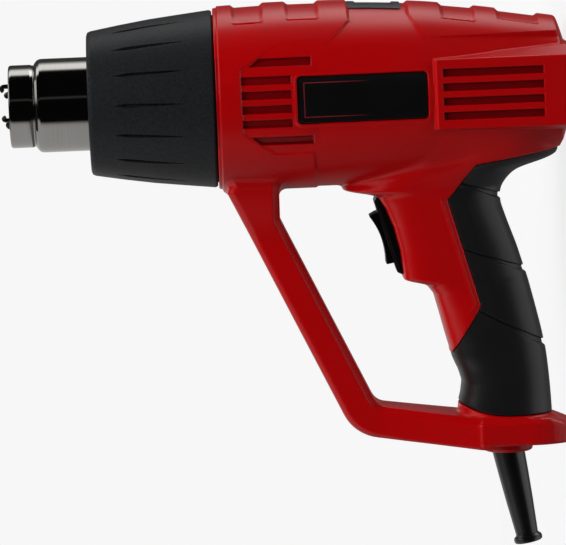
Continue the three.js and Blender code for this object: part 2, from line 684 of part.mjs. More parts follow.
for (let i = 0; i < COLLAR_GROOVES; i += 1) {
  const widest = grooveLength * GROOVE_WIDEST;
  const shape = outline([[0, 0], [widest, -GROOVE_WIDTH / 2], [grooveLength, 0], [widest, GROOVE_WIDTH / 2]]);
  const cutter = new THREE.ExtrudeGeometry(shape, { depth: 6, bevelEnabled: false });
  cutter.rotateY(-Math.atan(collarRise));
  cutter.translate(GROOVE_FRONT, 0, collarAt(GROOVE_FRONT) - GROOVE_DEPTH * 0.6);
  cutter.rotateX(radians(GROOVE_TURN) + (i * 2 * Math.PI) / COLLAR_GROOVES);
  grooves.push(solid(cutter));
}
collar = collar.subtract(join(...grooves));

// Outlet tube and heater
const tube = solid(turned([
  [0, TUBE_FRONT_R - TUBE_WALL], [0, TUBE_FRONT_R - 0.5], [0.5, TUBE_FRONT_R],
  [TUBE_STEP_START, TUBE_FRONT_R],
  [TUBE_STEP_START + 0.7, TUBE_FRONT_R - 0.4], [TUBE_STEP_START + 1.4, TUBE_FRONT_R],
  [TUBE_STEP_END - 0.8, TUBE_REAR_R - 0.6], [TUBE_STEP_END + 0.4, TUBE_REAR_R], [TUBE_REAR, TUBE_REAR_R],
  [TUBE_REAR, TUBE_FLANGE_R], [TUBE_REAR + TUBE_FLANGE, TUBE_FLANGE_R],
  [TUBE_REAR + TUBE_FLANGE, TUBE_REAR_R - TUBE_WALL],
  [TUBE_STEP_END + 0.4, TUBE_REAR_R - TUBE_WALL], [TUBE_STEP_START + 1.4, TUBE_FRONT_R - TUBE_WALL - 0.4],
]));
const sleeveR = TUBE_REAR_R - TUBE_WALL - GAP;
const sleeve = solid(turned([
  [SLEEVE_FRONT, sleeveR - SLEEVE_WALL], [SLEEVE_FRONT, sleeveR],
  [TUBE_REAR, sleeveR], [TUBE_REAR, sleeveR - SLEEVE_WALL],
], 24));

// Crossed heater plates, with end discs that carry the rods and reach the sleeve
const discR = sleeveR - SLEEVE_WALL - GAP;
const coreRear = TUBE_REAR - 2;
const discAt = [CORE_FRONT, coreRear - 2];
const discs = discAt.map((x) => {
  let disc = solid(rod(x, x + 2, discR, 20));
  for (let i = 0; i < 4; i += 1) {
    const port = rod(x - 2, x + 4, 3.4, 8);
    port.translate(0, 0, 13);
    port.rotateX((i * Math.PI) / 2 + Math.PI / 4 + 0.26 * (i % 2 ? 1 : -1));
    disc = disc.subtract(solid(port));
  }
  return disc;
});
let core = join(
  box(CORE_FRONT, coreRear, -CORE_R, CORE_R, -CORE_THICK / 2, CORE_THICK / 2),
  box(CORE_FRONT, coreRear, -CORE_THICK / 2, CORE_THICK / 2, -CORE_R, CORE_R),
  ...discs,
);
const rodPlaces = [];
for (let i = 0; i < ROD_COUNT; i += 1) {
  const angle = radians(ROD_ANGLE) + (i * 2 * Math.PI) / ROD_COUNT;
  rodPlaces.push([ROD_PITCH_R * Math.cos(angle), ROD_PITCH_R * Math.sin(angle)]);
}
for (const [y, z] of rodPlaces) {
  const bore = rod(CORE_FRONT - 4, coreRear + 4, ROD_RADIUS + GAP, 8);
  bore.translate(0, y, z);
  core = core.subtract(solid(bore));
}

class Winding extends THREE.Curve {
  getPoint(t, target = new THREE.Vector3()) {
    const angle = t * COIL_TURNS * 2 * Math.PI;
    const along = COIL_FRONT + t * (COIL_REAR - COIL_FRONT);
    return target.set(along, COIL_R * Math.cos(angle), COIL_R * Math.sin(angle));
  }
}
const wireSection = new THREE.Shape().absarc(0, 0, COIL_WIRE_R, 0, 2 * Math.PI);
const coil = new THREE.ExtrudeGeometry(wireSection, {
  steps: COIL_TURNS * 12,
  extrudePath: new Winding(),
  curveSegments: 2,
});
const windingPoints = new Winding().getPoints(COIL_TURNS * 24);
let leastGap = Infinity;
windingPoints.forEach((p, i) => {
  windingPoints.slice(i + 20).forEach((q) => {
    leastGap = Math.min(leastGap, p.distanceTo(q) - 2 * COIL_WIRE_R);
  });
});
console.log(`heating coil: least gap to itself ${leastGap.toFixed(2)} mm`);

// Blower
const guideThroat = TUBE_REAR_R + 1.4;
const guide = solid(turned([
  [GUIDE_FRONT, TUBE_REAR_R], [GUIDE_FRONT, TUBE_FLANGE_R], [GUIDE_FRONT + 2, TUBE_FLANGE_R],
  [GUIDE_FRONT + 2, guideThroat], [GUIDE_SHROUD, GUIDE_R], [GUIDE_REAR, GUIDE_R],
  [GUIDE_REAR, GUIDE_R - GUIDE_WALL], [GUIDE_SHROUD, GUIDE_R - GUIDE_WALL],
], 24));
let fan = solid(rod(FAN_FRONT, FAN_REAR, FAN_HUB_R, 28));
for (let i = 0; i < FAN_BLADES; i += 1) {
  const blade = new THREE.BoxGeometry(FAN_BLADE_THICK, 11, FAN_R - FAN_HUB_R + 2);
  blade.rotateZ(radians(FAN_BLADE_TURN));
  blade.translate((FAN_FRONT + FAN_REAR) / 2, 0, (FAN_R + FAN_HUB_R) / 2 - 1.4);
  blade.rotateX((i * 2 * Math.PI) / FAN_BLADES);
  fan = fan.add(solid(blade));
}
fan = fan.subtract(solid(rod(FAN_FRONT - 5, FAN_REAR + 5, SHAFT_R + GAP, 10)));
const shaft = rod(SHAFT_FRONT, MOTOR_FRONT + 5, SHAFT_R, 10);
const motorCan = solid(turned([
  [MOTOR_FRONT - 2.5, 0], [MOTOR_FRONT - 2.5, 5], [MOTOR_FRONT, 5], [MOTOR_FRONT, MOTOR_R - 1],
  [MOTOR_FRONT + 1, MOTOR_R], [MOTOR_REAR, MOTOR_R], [MOTOR_REAR, 0],
], 24)).subtract(solid(rod(MOTOR_FRONT - 6, MOTOR_FRONT + 6, SHAFT_R + GAP, 10)));
const capFront = MOTOR_REAR + GAP;
const motorCap = solid(turned([
  [capFront, 0], [capFront, MOTOR_R - 1],
  [capFront + MOTOR_CAP - 1, MOTOR_R - 1], [capFront + MOTOR_CAP, MOTOR_R - 2.2],
  [capFront + MOTOR_CAP, 0],
], 24));
const boardFront = capFront + MOTOR_CAP + GAP;
const board = box(boardFront, boardFront + BOARD_SIZE[0], -BOARD_SIZE[1] / 2, BOARD_SIZE[1] / 2,
  -BOARD_SIZE[2] / 2, BOARD_SIZE[2] / 2);
const funnelStart = GUIDE_FRONT + 2;
const funnelRise = (GUIDE_R - guideThroat) / (GUIDE_SHROUD - funnelStart);
const funnelAt = (x) => guideThroat + funnelRise * (x - funnelStart);
const cutoutLow = funnelAt(CUTOUT.front + CUTOUT.long) + GAP;
const cutoutRear = CUTOUT.front + CUTOUT.long;
const cutout = box(CUTOUT.front, cutoutRear, -CUTOUT.half, CUTOUT.half, cutoutLow, cutoutLow + CUTOUT.tall);

// Switch
const pit = switchBox(-20, PIT_DEEP, PIT_HALF, -PIT_LENGTH / 2, PIT_LENGTH / 2);
const frameSide = outline([
  [-SWITCH_FACE - GAP, -FRAME_LENGTH / 2], [-SWITCH_FACE - GAP, FRAME_LENGTH / 2],
  [-SWITCH_FACE - FRAME_PROUD, FRAME_LENGTH / 2 - 1.6], [-SWITCH_FACE - FRAME_PROUD, -FRAME_LENGTH / 2 + 1.6],
]);
const contactPost = new THREE.CylinderGeometry(0.7, 0.7, 2 * PIT_HALF + 1, 12);
contactPost.translate(CONTACT_AT, 0, 0);
const rockerPost = new THREE.CylinderGeometry(1.2, 1.2, 2 * PIT_HALF + 1, 14);
const switchBody = join(
  atSwitch(slab(frameSide, -FRAME_HALF, FRAME_HALF)),
  switchBox(-SWITCH_FACE - 1, SWITCH_DEEP, SWITCH_HALF, -SWITCH_LENGTH / 2, SWITCH_LENGTH / 2),
).subtract(pit).add(atSwitch(contactPost)).add(atSwitch(rockerPost));
const rockerSide = new THREE.Shape();
rockerSide.moveTo(-ROCKER_TIP, ROCKER_LENGTH / 2);
rockerSide.quadraticCurveTo(2 * -ROCKER_MIDDLE + ROCKER_TIP, 0, -ROCKER_TIP, -ROCKER_LENGTH / 2);
rockerSide.lineTo(-1, -ROCKER_LENGTH / 2);
rockerSide.lineTo(1.8, -4);
rockerSide.lineTo(3.6, -1);
rockerSide.lineTo(3.6, 1);
rockerSide.lineTo(1.8, 4);
rockerSide.lineTo(-1, ROCKER_LENGTH / 2);
rockerSide.closePath();
const rockerBore = new THREE.CylinderGeometry(1.2 + GAP, 1.2 + GAP, 40, 14);
const rocker = atSwitch(slab(rockerSide, -ROCKER_HALF, ROCKER_HALF)).subtract(atSwitch(rockerBore));
const contactSide = outline([
  [CONTACT_AT - 1.8, 1.6], [CONTACT_AT - 1.8, -1.6], [CONTACT_AT - 1, -1.6],
  [CONTACT_AT - 0.4, -CONTACT_LENGTH / 2], [CONTACT_AT + CONTACT_THICK - 0.4, -CONTACT_LENGTH / 2],
  [CONTACT_AT + 1.7, -1.6], [CONTACT_AT + 1.7, 1.6],
  [CONTACT_AT + CONTACT_THICK - 0.4, CONTACT_LENGTH / 2], [CONTACT_AT - 0.4, CONTACT_LENGTH / 2],
  [CONTACT_AT - 1, 1.6],
]);
const contactBore = new THREE.CylinderGeometry(0.7 + GAP, 0.7 + GAP, 40, 12);
contactBore.translate(CONTACT_AT, 0, 0);
const contact = atSwitch(slab(contactSide, -CONTACT_HALF, CONTACT_HALF)).subtract(atSwitch(contactBore));

// Strain relief, hollow for the cable
const reliefRise = (drop) => RELIEF_TOP_R + (RELIEF_END_R - RELIEF_TOP_R) * (drop / RELIEF_LENGTH);
const headLow = -RELIEF_HEAD / 2 - GAP;
const relief = aboutGland([
  [headLow - RELIEF_HEAD, RELIEF_BORE_R], [headLow - RELIEF_HEAD, RELIEF_HEAD_R],
  [headLow, RELIEF_HEAD_R], [headLow, RELIEF_NECK_R],
  [GLAND_DROP + GAP, RELIEF_NECK_R], [GLAND_DROP + GAP, RELIEF_TOP_R],
  [RELIEF_LENGTH / 2 + 2, reliefRise(RELIEF_LENGTH / 2)], [RELIEF_LENGTH, RELIEF_END_R],
  [RELIEF_LENGTH + 1.2, RELIEF_LIP_R], [RELIEF_LENGTH + 1.2 + RELIEF_LIP, RELIEF_LIP_R],
  [RELIEF_LENGTH + 1.2 + RELIEF_LIP, RELIEF_BORE_R],
]);

// Cable clamp and terminal block, held between the handle's walls
const handleHalf = (z) => {
  const next = HANDLE.findIndex((s) => s.z <= z);
  const [a, b] = [HANDLE[next - 1], HANDLE[next]];
  return a.half + (b.half - a.half) * ((z - a.z) / (b.z - a.z));
};
const clampHalf = handleHalf(CLAMP.z + CLAMP.tall) - handWall - 2 * GAP;
const clampTop = CLAMP.z + CLAMP.tall;
const clampCord = new THREE.CylinderGeometry(CLAMP.bore, CLAMP.bore, 30, 12);
clampCord.rotateX(Math.PI / 2);
clampCord.translate(CLAMP.x, 0, CLAMP.z);
let clamp = box(CLAMP.x - CLAMP.long / 2, CLAMP.x + CLAMP.long / 2, -clampHalf, clampHalf, CLAMP.z, clampTop)
  .subtract(solid(clampCord));
const blockHalf = handleHalf(BLOCK.z + BLOCK.tall) - handWall - 3 * GAP;
const blockLong = BLOCK.long / 2;
const blockTop = BLOCK.z + BLOCK.tall;
const block = box(BLOCK.x - blockLong, BLOCK.x + blockLong, -blockHalf, blockHalf, BLOCK.z, blockTop);
function upright(x, y, z0, z1, radius, sides = 10) {
  const geometry = new THREE.CylinderGeometry(radius, radius, z1 - z0, sides);
  geometry.rotateX(Math.PI / 2);
  geometry.translate(x, y, (z0 + z1) / 2);
  return solid(geometry);
}
const clampScrews = [-1, 1].map((side) => {
  const y = side * CLAMP_SCREW_Y;
  clamp = clamp.subtract(upright(CLAMP.x, y, CLAMP.z - 2, clampTop + 2, SCREW_R - 0.3 + GAP));
  return join(
    upright(CLAMP.x, y, CLAMP.z - 3, clampTop + 1, SCREW_R - 0.3),
    upright(CLAMP.x, y, clampTop + GAP, clampTop + GAP + 1.6, 2.4),
  );
});

// One housing screw: a round head with a hexagonal recess, lying across the tool
const screwTop = SCREW_SEAT + GAP + SCREW_HEAD;
const screw = toGeometry(join(
  solid(pin(0, 0, SCREW_SEAT + GAP, screwTop, SCREW_HEAD_R)),
  solid(pin(0, 0, SCREW_SEAT - SCREW_LENGTH, SCREW_SEAT + 1, SCREW_R, 8)),
).subtract(solid(pin(0, 0, screwTop - 1.2, screwTop + 2, 1.5, 6))));

// Materials, one to a mesh
function finish(colour, roughness, metalness = 0) {
  return () => new THREE.MeshStandardMaterial({ color: colour, roughness, metalness });
}
const redPlastic = finish(0xa30c10, 0.42);
const blackPlastic = finish(0x17171a, 0.62);
const softRubber = finish(0x1d1d21, 0.72);
const glossBlack = finish(0x08080a, 0.2);
const greyPlastic = finish(0x3c3d42, 0.5);
const chrome = finish(0xd4d4d6, 0.12, 1);
const steel = finish(0x9b9ca0, 0.35, 1);
const mica = finish(0xb9a884, 0.6);
const brass = finish(0xb08d46, 0.35, 1);
const boardGreen = finish(0x1f5b3a, 0.55);
const creamPlastic = finish(0xd9d2bd, 0.5);

const held = new THREE.Group();
function place(name, shape, material) {
  const geometry = shape.isBufferGeometry ? shape : toGeometry(shape);
  const mesh = new THREE.Mesh(geometry, material());
  mesh.name = name;
  held.add(mesh);
  return mesh;
}

place('housing_left', leftHalf, redPlastic);
place('housing_right', rightHalf, redPlastic);
place('front_collar', collar, blackPlastic);
place('outlet_tube', tube, chrome);
place('mica_sleeve', sleeve, mica);
place('heater_core', core, mica);
place('heating_coil', coil, steel);
rodPlaces.forEach(([y, z], i) => {
  place(`heater_rod_${i + 1}`, rod(ROD_FRONT, TUBE_REAR, ROD_RADIUS, 10), steel).position.set(0, y, z);
});
place('air_guide', guide, creamPlastic);
place('thermal_cutout', cutout, blackPlastic);
place('fan_impeller', fan, blackPlastic);
place('motor_shaft', shaft, steel);
place('motor_can', motorCan, steel);
place('motor_end_cap', motorCap, blackPlastic);
place('rectifier_board', board, boardGreen);
place('top_plate', topPlate, greyPlastic);
place('side_label_left', labelLeft, glossBlack);
place('side_label_right', labelRight, glossBlack);
place('grip_left', gripLeft, softRubber);
place('grip_right', gripRight, softRubber);
place('switch_body', switchBody, blackPlastic);
place('switch_rocker', rocker, glossBlack);
place('switch_contact', contact, brass);
for (let i = 0; i < TERMINAL_COUNT; i += 1) {
  const z = (i - (TERMINAL_COUNT - 1) / 2) * TERMINAL_PITCH;
  const deep = SWITCH_DEEP + GAP;
  place(`switch_terminal_${i + 1}`, switchBox(deep, deep + TERMINAL_LENGTH, 2.4, z - 0.4, z + 0.4), brass);
}
place('strain_relief', relief, softRubber);
place('cable_clamp', clamp, creamPlastic);
clampScrews.forEach((clampScrew, i) => place(`clamp_screw_${i + 1}`, clampScrew, steel));
place('terminal_block', block, creamPlastic);
for (const [name, [x, z]] of Object.entries(SCREWS)) {
  place(`screw_${name}`, screw, steel).position.set(x, 0, z);
}

// Stand the tool on its back, with its footprint's middle at the origin
held.rotation.y = Math.PI / 2;
held.updateMatrixWorld(true);
const bounds = new THREE.Box3().setFromObject(held, true);
const middle = bounds.getCenter(new THREE.Vector3());
held.position.set(-middle.x, -middle.y, -bounds.min.z);
const tool = new THREE.Group();
tool.add(held);

export default tool;
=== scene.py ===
"""A corded hot air tool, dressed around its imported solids.

The shapes are drawn on the tool as it is held, in millimetres: x runs back along the barrel from the
outlet rim, y to the tool's right and z up, with the barrel's axis at z = 0. stood() turns them into
the row frame, where the tool stands on its flat back with the outlet up.
"""
import functools
import math
import bpy
import numpy as np
from mathutils import Matrix, Vector


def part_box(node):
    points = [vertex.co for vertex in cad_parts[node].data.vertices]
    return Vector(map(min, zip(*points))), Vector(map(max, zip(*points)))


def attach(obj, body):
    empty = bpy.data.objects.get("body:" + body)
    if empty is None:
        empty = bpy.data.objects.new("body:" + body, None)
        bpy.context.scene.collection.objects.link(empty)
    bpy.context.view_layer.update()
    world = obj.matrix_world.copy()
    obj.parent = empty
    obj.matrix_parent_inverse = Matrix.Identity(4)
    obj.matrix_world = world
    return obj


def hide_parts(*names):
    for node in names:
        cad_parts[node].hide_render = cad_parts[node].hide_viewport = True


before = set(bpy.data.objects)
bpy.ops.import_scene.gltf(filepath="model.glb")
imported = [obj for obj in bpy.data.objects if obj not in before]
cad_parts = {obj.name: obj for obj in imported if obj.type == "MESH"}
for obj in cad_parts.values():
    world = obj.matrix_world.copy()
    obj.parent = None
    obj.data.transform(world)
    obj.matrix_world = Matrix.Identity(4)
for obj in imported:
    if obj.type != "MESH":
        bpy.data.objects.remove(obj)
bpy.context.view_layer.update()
scene = bpy.context.scene

MM = 0.001
tube_low, tube_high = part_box("outlet_tube")
RIM = tube_high.z / MM                          # the outlet rim, above the standing face
AXIS = (tube_low.x + tube_high.x) / 2 / MM      # the barrel's axis, along the row's x
COARSE = 1.0


def stood(points):
    """Points of the held tool, in mm, as points of the row frame, in metres."""
    x, y, z = np.asarray(points, float).reshape(-1, 3).T
    return np.column_stack((z + AXIS, y, RIM - x)) * MM


def stood_way(direction):
    """A direction of the held tool in the row frame."""
    x, y, z = direction
    return Vector((z, y, -x))


# Distances: every shape is a function of x, y and z that is negative inside
CHAMFER = 0.7071    # of the sum of two distances: a cut at 45 degrees


def ease(low, high, at):
    """0 at low, 1 at high, with a soft start and end."""
    part = np.clip((at - low) / (high - low), 0, 1)
    return part * part * (3 - 2 * part)


def shared(*shapes):
    """What shapes share, with sharp edges."""
    return functools.reduce(np.maximum, shapes)


def blend_in(a, b, soft):
    """Two shapes joined with a fillet."""
    part = np.clip(0.5 + 0.5 * (b - a) / soft, 0, 1)
    return b + (a - b) * part - soft * part * (1 - part)


def trim(a, b, soft):
    """What two shapes share, with the edge between them eased."""
    return -blend_in(-a, -b, soft)


def round_edge(a, b, radius):
    """What two shapes share, with a true radius on the edge between them."""
    p = np.maximum(a + radius, 0)
    q = np.maximum(b + radius, 0)
    return np.minimum(np.maximum(a + radius, b + radius), 0) + np.sqrt(p * p + q * q) - radius


def outline(a, b, points):
    """Distance to a closed outline in two directions."""
    nearest = None
    within = None
    for (a0, b0), (a1, b1) in zip(points, points[1:] + points[:1]):
        da, db = a1 - a0, b1 - b0
        along = np.clip(((a - a0) * da + (b - b0) * db) / (da * da + db * db), 0, 1)
        far = (a - a0 - da * along) ** 2 + (b - b0 - db * along) ** 2
        nearest = far if nearest is None else np.minimum(nearest, far)
        if db == 0:
            continue
        crossing = ((b0 > b) != (b1 > b)) & (a < a0 + da * (b - b0) / db)
        within = crossing if within is None else within ^ crossing
    return np.where(within, -1, 1).astype(nearest.dtype) * np.sqrt(nearest)


def cornered(points, steps=8):
    """An outline whose points may carry a radius, with those corners rounded."""
    made = []
    for i, point in enumerate(points):
        here = np.array(point[:2], float)
        if len(point) < 3:
            made.append(tuple(here))
            continue
        back = np.array(points[i - 1][:2]) - here
        ahead = np.array(points[(i + 1) % len(points)][:2]) - here
        back /= np.linalg.norm(back)
        ahead /= np.linalg.norm(ahead)
        half = math.acos(float(back @ ahead)) / 2
        reach = point[2] / math.tan(half)
        middle = here + (back + ahead) / np.linalg.norm(back + ahead) * point[2] / math.sin(half)
        start = here + back * reach - middle
        end = here + ahead * reach - middle
        sweep = math.pi - 2 * half
        for k in range(steps + 1):
            t = k / steps
            turn = (start * math.sin((1 - t) * sweep) + end * math.sin(t * sweep)) / math.sin(sweep)
            made.append(tuple(middle + turn))
    return made


def curve(places, values, blur):
    """A smooth curve through measured places, with its corners blurred."""
    step = 0.25
    fine = np.arange(places[0] - 40, places[-1] + 40, step)
    line = np.interp(fine, places, values)
    reach = np.arange(-3 * blur, 3 * blur + step / 2, step)
    weight = np.exp(-0.5 * (reach / blur) ** 2)
    count = len(reach) // 2
    soft = np.convolve(np.pad(line, count, mode="edge"), weight / weight.sum(), mode="valid")
    soft = soft[:len(fine)]

    def at(place):
        return np.interp(place, fine, soft).astype(np.asarray(place).dtype)
    return at


# Barrel
BODY_FRONT, STAND = 87.0, 236.2
STATIONS = [70, 87, 110, 137, 156, 175, 200, 226, 236]
barrel_top = curve(STATIONS, [38.2, 38.9, 39.8, 39.7, 39.0, 37.8, 34.6, 30.3, 28.6], 4)
barrel_low = curve(STATIONS, [38.2, 38.9, 39.3, 39.3, 39.2, 37.6, 33.0, 27.4, 25.2], 4)
barrel_half = curve(STATIONS, [38.2, 38.9, 39.0, 38.6, 37.8, 36.4, 33.6, 30.4, 29.0], 4)
WALL = 3.0
# Pockets on top: front end, rear end and half width
POCKETS = [(94.6, 108.2, 22.8), (117.2, 131.4, 22), (182.2, 197.2, 19.4), (206, 224, 15.4)]
POCKET_DEPTH = 1.25
PANEL = [(114.6, 25), (96.9, 13.7), (97.4, -13.7), (111.1, -22.8), (126.6, -22.7), (128.6, -46),
         (270, -46), (270, 25)]
FRONT_VENT, LONG_VENT, REAR_VENT = (97.7, 118.4), (101.2, 126.8), (181.5, 223.4)
VENT_PITCH, VENT_HALF, LONG_VENT_Z, LONG_VENT_SLANT = 6.0, 1.6, 16.35, 4.0
LOUVRE, VENT_DEPTH = 0.25, 1.9
LABEL, LABEL_WALL = (121, 174.9, 9.65, 1.8), 1.3
FLARE_FRONT, FLARE_TALL = 177.8, 14.6
# Ends of the middle recess: place on top, the height where it starts to spread, and the spread
RECESS_FRONT, RECESS_REAR, RECESS_DEPTH = (142.8, 31.4, 1.08), (169.2, 33.4, 0.57), 1.15
SLANT_X, SLANT_Z = 233.3, -19.9


def barrel_skin(x, y, z):
    """The barrel's oval skin, endless along x."""
    half, tall = barrel_half(x), np.where(z > 0, barrel_top(x), barrel_low(x))
    across, up = y / half, z / tall
    size = np.sqrt(across * across + up * up) + 1e-4
    steep = np.sqrt((across / half) ** 2 + (up / tall) ** 2) / size
    return (size - 1) / (steep + 1e-5)


def pocket_depth(x, y, z):
    """The shallow pockets between the cross bars on top, with a fine line at their sides."""
    depth = 0
    for front, rear, half in POCKETS:
        ends = (np.abs(x - (front + rear) / 2) - (rear - front) / 2) / 1.5
        sides = (np.abs(y) - half) / 0.4
        floor = np.clip(-round_edge(ends, sides, 0.8), 0, 1) * (1 - 0.75 * (y / half) ** 2)
        line = np.clip(1.3 - np.abs(np.abs(y) - half + 0.7) / 0.55, 0, 1) * np.clip(-ends, 0, 1)
        depth = np.maximum(depth, POCKET_DEPTH * floor + 0.6 * line)
    return depth * (z > 0)


def recess_depth(x, z):
    """The long middle recess, whose end walls spread and fade on the flanks."""
    front, front_top, front_spread = RECESS_FRONT
    rear, rear_top, rear_spread = RECESS_REAR
    ahead = front - front_spread * np.clip(front_top - z, 0, None) - x
    behind = x - rear - rear_spread * np.clip(rear_top - z, 0, None)
    return RECESS_DEPTH * np.clip(-np.maximum(ahead, behind) / 1.4, 0, 1) * ease(20, 33, z)


def panel_depth(x, z):
    """The flank panel around the front vents, a little lower than the front band."""
    inside = np.clip(-outline(x, z, PANEL) / 0.9, 0, 1)
    return 0.6 * inside * (1 - ease(15, 26, z)) * (1 - ease(150, 190, x))


def shoulder_depth(x, z):
    """The slanted step under the top shoulder, a wedge that grows towards the back."""
    grown = np.clip((x - 172) / 60, 0, 1)
    return 0.85 * np.clip(23.9 - z, 0, 2.6 * grown) * ease(4, 12, z)


def label_outline(room):
    """The outline of a label plate, with some room round it."""
    front, rear, half, corner = LABEL
    front, rear, half = front - room, rear + room, half + room
    return cornered([(a, b, corner) for a, b in ((front, -half), (rear, -half), (rear, half), (front, half))])


def barrel_dressed(x, y, z):
    """The barrel's skin with its pockets, panel, shoulder, label seat and front ring."""
    seat = outline(x, z, label_outline(0.3))
    depth = recess_depth(x, z) + panel_depth(x, z) + shoulder_depth(x, z)
    depth = depth + 1.6 * np.clip(-seat / 0.35 + 0.4, 0, 1) - 0.25 * np.exp(-((seat - 0.7) / 0.5) ** 2)
    depth = depth + 0.75 * (1 - ease(88.3, 88.9, x))
    return barrel_skin(x, y, z) + depth + pocket_depth(x, y, z)


def rear_slant(x, z):
    """The slanted rear end under the intake frame, negative ahead of it."""
    return np.where(z > -45, (x - SLANT_X) * 0.935 - (z - SLANT_Z) * 0.355, -5)


def under_frame(x, z):
    """The slanted rear end, only where it lies under the intake frame."""
    return np.where(z < -8, rear_slant(x, z), -5)


def barrel(x, y, z):
    """The barrel with its rounded back and its slanted rear end."""
    shape = round_edge(barrel_dressed(x, y, z), BODY_FRONT - x, 0.4)
    back = x - np.minimum(STAND - 0.5, 237 - 0.0067 * (y * y + z * z))
    return trim(shape, np.maximum(back, under_frame(x, z)), 1.2)


def flare_half(x):
    """Half width of the intake frame."""
    return 36.9 + 0.7 * (x - FLARE_FRONT) / (STAND - FLARE_FRONT)


def flare(x, y, z):
    """The proud intake frame on both flanks; its back is the standing face."""
    wide, tall = np.abs(y), np.abs(z)
    slope = (0.5 + np.where(z > 0, 3.6, 1.9) * (x - FLARE_FRONT) / (STAND - FLARE_FRONT)) / 10
    face = wide - flare_half(x)
    roof = (tall - FLARE_TALL - slope * np.clip(-face, 0, 10)) / np.sqrt(1 + slope * slope)
    shape = round_edge(face, roof, 0.5)
    shape = trim(shape, (FLARE_FRONT - x + face + 1.2) * CHAMFER, 0.4)
    shape = round_edge(shape, FLARE_FRONT - x, 0.5)
    return round_edge(shape, x - STAND, 0.8)


# Handle, hand loop and base
GRIP_ROWS = [
    # height, front edge, back edge, half width, squareness of the front
    (-12, 178, 232.8, 33, 2.6), (-18, 174, 232.6, 30.5, 2.6), (-22, 172, 232.4, 28.2, 2.5),
    (-26, 168, 232.2, 26, 2.3), (-28.6, 165, 231, 24.6, 2.2), (-31, 160.5, 225.4, 23.4, 2.1),
    (-34, 153.5, 213.6, 22, 2.1), (-37, 146.5, 209.9, 20.8, 2.2), (-39.5, 142.2, 207.8, 20, 2.4),
    (-41.2, 140.6, 206.6, 19.6, 2.6), (-42.2, 146.5, 206.2, 19.4, 2.9), (-43, 151.2, 206, 19.2, 3.3),
    (-44.2, 153.3, 205.6, 19, 3.8), (-48.7, 156.3, 205.8, 18.3, 5), (-56.8, 159.6, 208.4, 17.5, 6),
    (-67, 162, 212, 17, 6), (-76, 162.9, 214.6, 16.7, 6), (-79.6, 163.2, 215.7, 16.6, 5.8),
    (-81.7, 172.6, 216.3, 16.6, 5), (-86.2, 175.9, 217.4, 16.6, 4.2), (-94, 177.9, 219.2, 16.6, 3.4),
    (-102, 179.8, 221, 16.7, 3), (-110, 181.9, 222.5, 16.8, 2.8), (-111.2, 181.6, 222.7, 16.8, 2.7),
    (-113.6, 182.3, 223, 16.9, 2.6), (-118.8, 185.1, 223.5, 17.1, 2.5), (-124, 186.6, 223.9, 17.4, 2.5),
    (-129, 185.9, 224.2, 17.8, 2.6), (-133, 184.8, 224.4, 18.2, 2.6), (-139.4, 184.2, 224.6, 19, 2.7),
    (-146, 184, 224.8, 19.2, 2.7),
]
HEIGHTS = [row[0] for row in GRIP_ROWS][::-1]
handle_front, handle_back, handle_half, handle_square = [
    curve(HEIGHTS, [row[k] for row in GRIP_ROWS][::-1], blur)
    for k, blur in ((1, 0.5), (2, 1.3), (3, 2), (4, 2))]
BACK_SQUARE = 2.35
GRIP_EDGE = [(246, -23), (194.6, -30.9), (182.6, -45.4), (195.3, -91), (182.7, -111.2), (160, -111.2),
             (160, -160), (250, -160)]
GRIP_GROOVES = [((186, -37.8), (206, -45.6)), ((189, -66.9), (217, -77.9)), ((195, -93.6), (224, -109.8))]
LOOP = cornered([(93.2, -34), (90.2, -39.3), (139.9, -144.45, 18), (198, -152.7), (198, -139.7),
                 (150, -132.1, 7), (112, -51.7, 7), (112, -34)])
HAND_SPACE = cornered([(112, -30), (112, -51.7, 7), (150, -132.1, 7), (198, -139.7), (198, -30)])
LOOP_HALF = 13
GRIP_WALL, GRIP_GAP = 2.6, 0.22
BASE = cornered([(189.3, -15), (193.5, -21, 1.2), (STAND, -21, 20), (STAND, 21, 20), (193.5, 21, 1.2),
                 (189.3, 15)], 12)
BASE_LOW = -150.8
GLAND = (204.75, BASE_LOW, math.radians(10.5))
BOSS_BACK, BOSS_R, BOSS_DEEP = 0.8, 10.4, 4.2
SWITCH = (161.4, -59.9, math.radians(18.6))
# Half height, half width and depth
SWITCH_BODY, SWITCH_WELL = (14.5, 8.6, 13), (12.8, 7, 9)
FRAME_TOP, FRAME_LOW, FRAME_HALF, FRAME_FACE = 17.7, -16.6, 9.5, -5.2


def handle(x, y, z):
    """The handle's section: boxy in front, at the switch, and rounder behind, at the grip."""
    front, back, half = handle_front(z), handle_back(z), handle_half(z)
    deep = (back - front) / 2
    offset = x - (front + back) / 2
    power = np.where(offset < 0, handle_square(z), BACK_SQUARE)
    along = np.abs(offset) / deep + 1e-4
    across = np.abs(y) / half + 1e-4
    total = along ** power + across ** power
    size = total ** (1 / power)
    steep = np.sqrt((along ** (power - 1) / deep) ** 2 + (across ** (power - 1) / half) ** 2)
    steep = steep * size / total
    return shared((size - 1) / (steep + 1e-4), z + 12, rear_slant(x, z))


def grip_side(x, z):
    """Distance in the side view to the edge of the soft grip, negative on the grip."""
    return outline(x, z, GRIP_EDGE)


def red_handle(x, y, z):
    """The red part of the handle, with the beaded bevel beside the grip and the core under it."""
    side = grip_side(x, z)
    lip = ease(-96, -91.5, z) * (1 - ease(-46, -43, z))
    bevel = lip * (0.8 * np.clip(1 - side / 2.5, 0, 1) - 0.2 * np.exp(-((side - 2.6) / 0.45) ** 2))
    depth = bevel + 0.3 * np.clip(1 - side / 0.7, 0, 1) + 2 * np.clip(-side / 0.4, 0, 1)
    return np.maximum(handle(x, y, z) + depth, -143 - z)


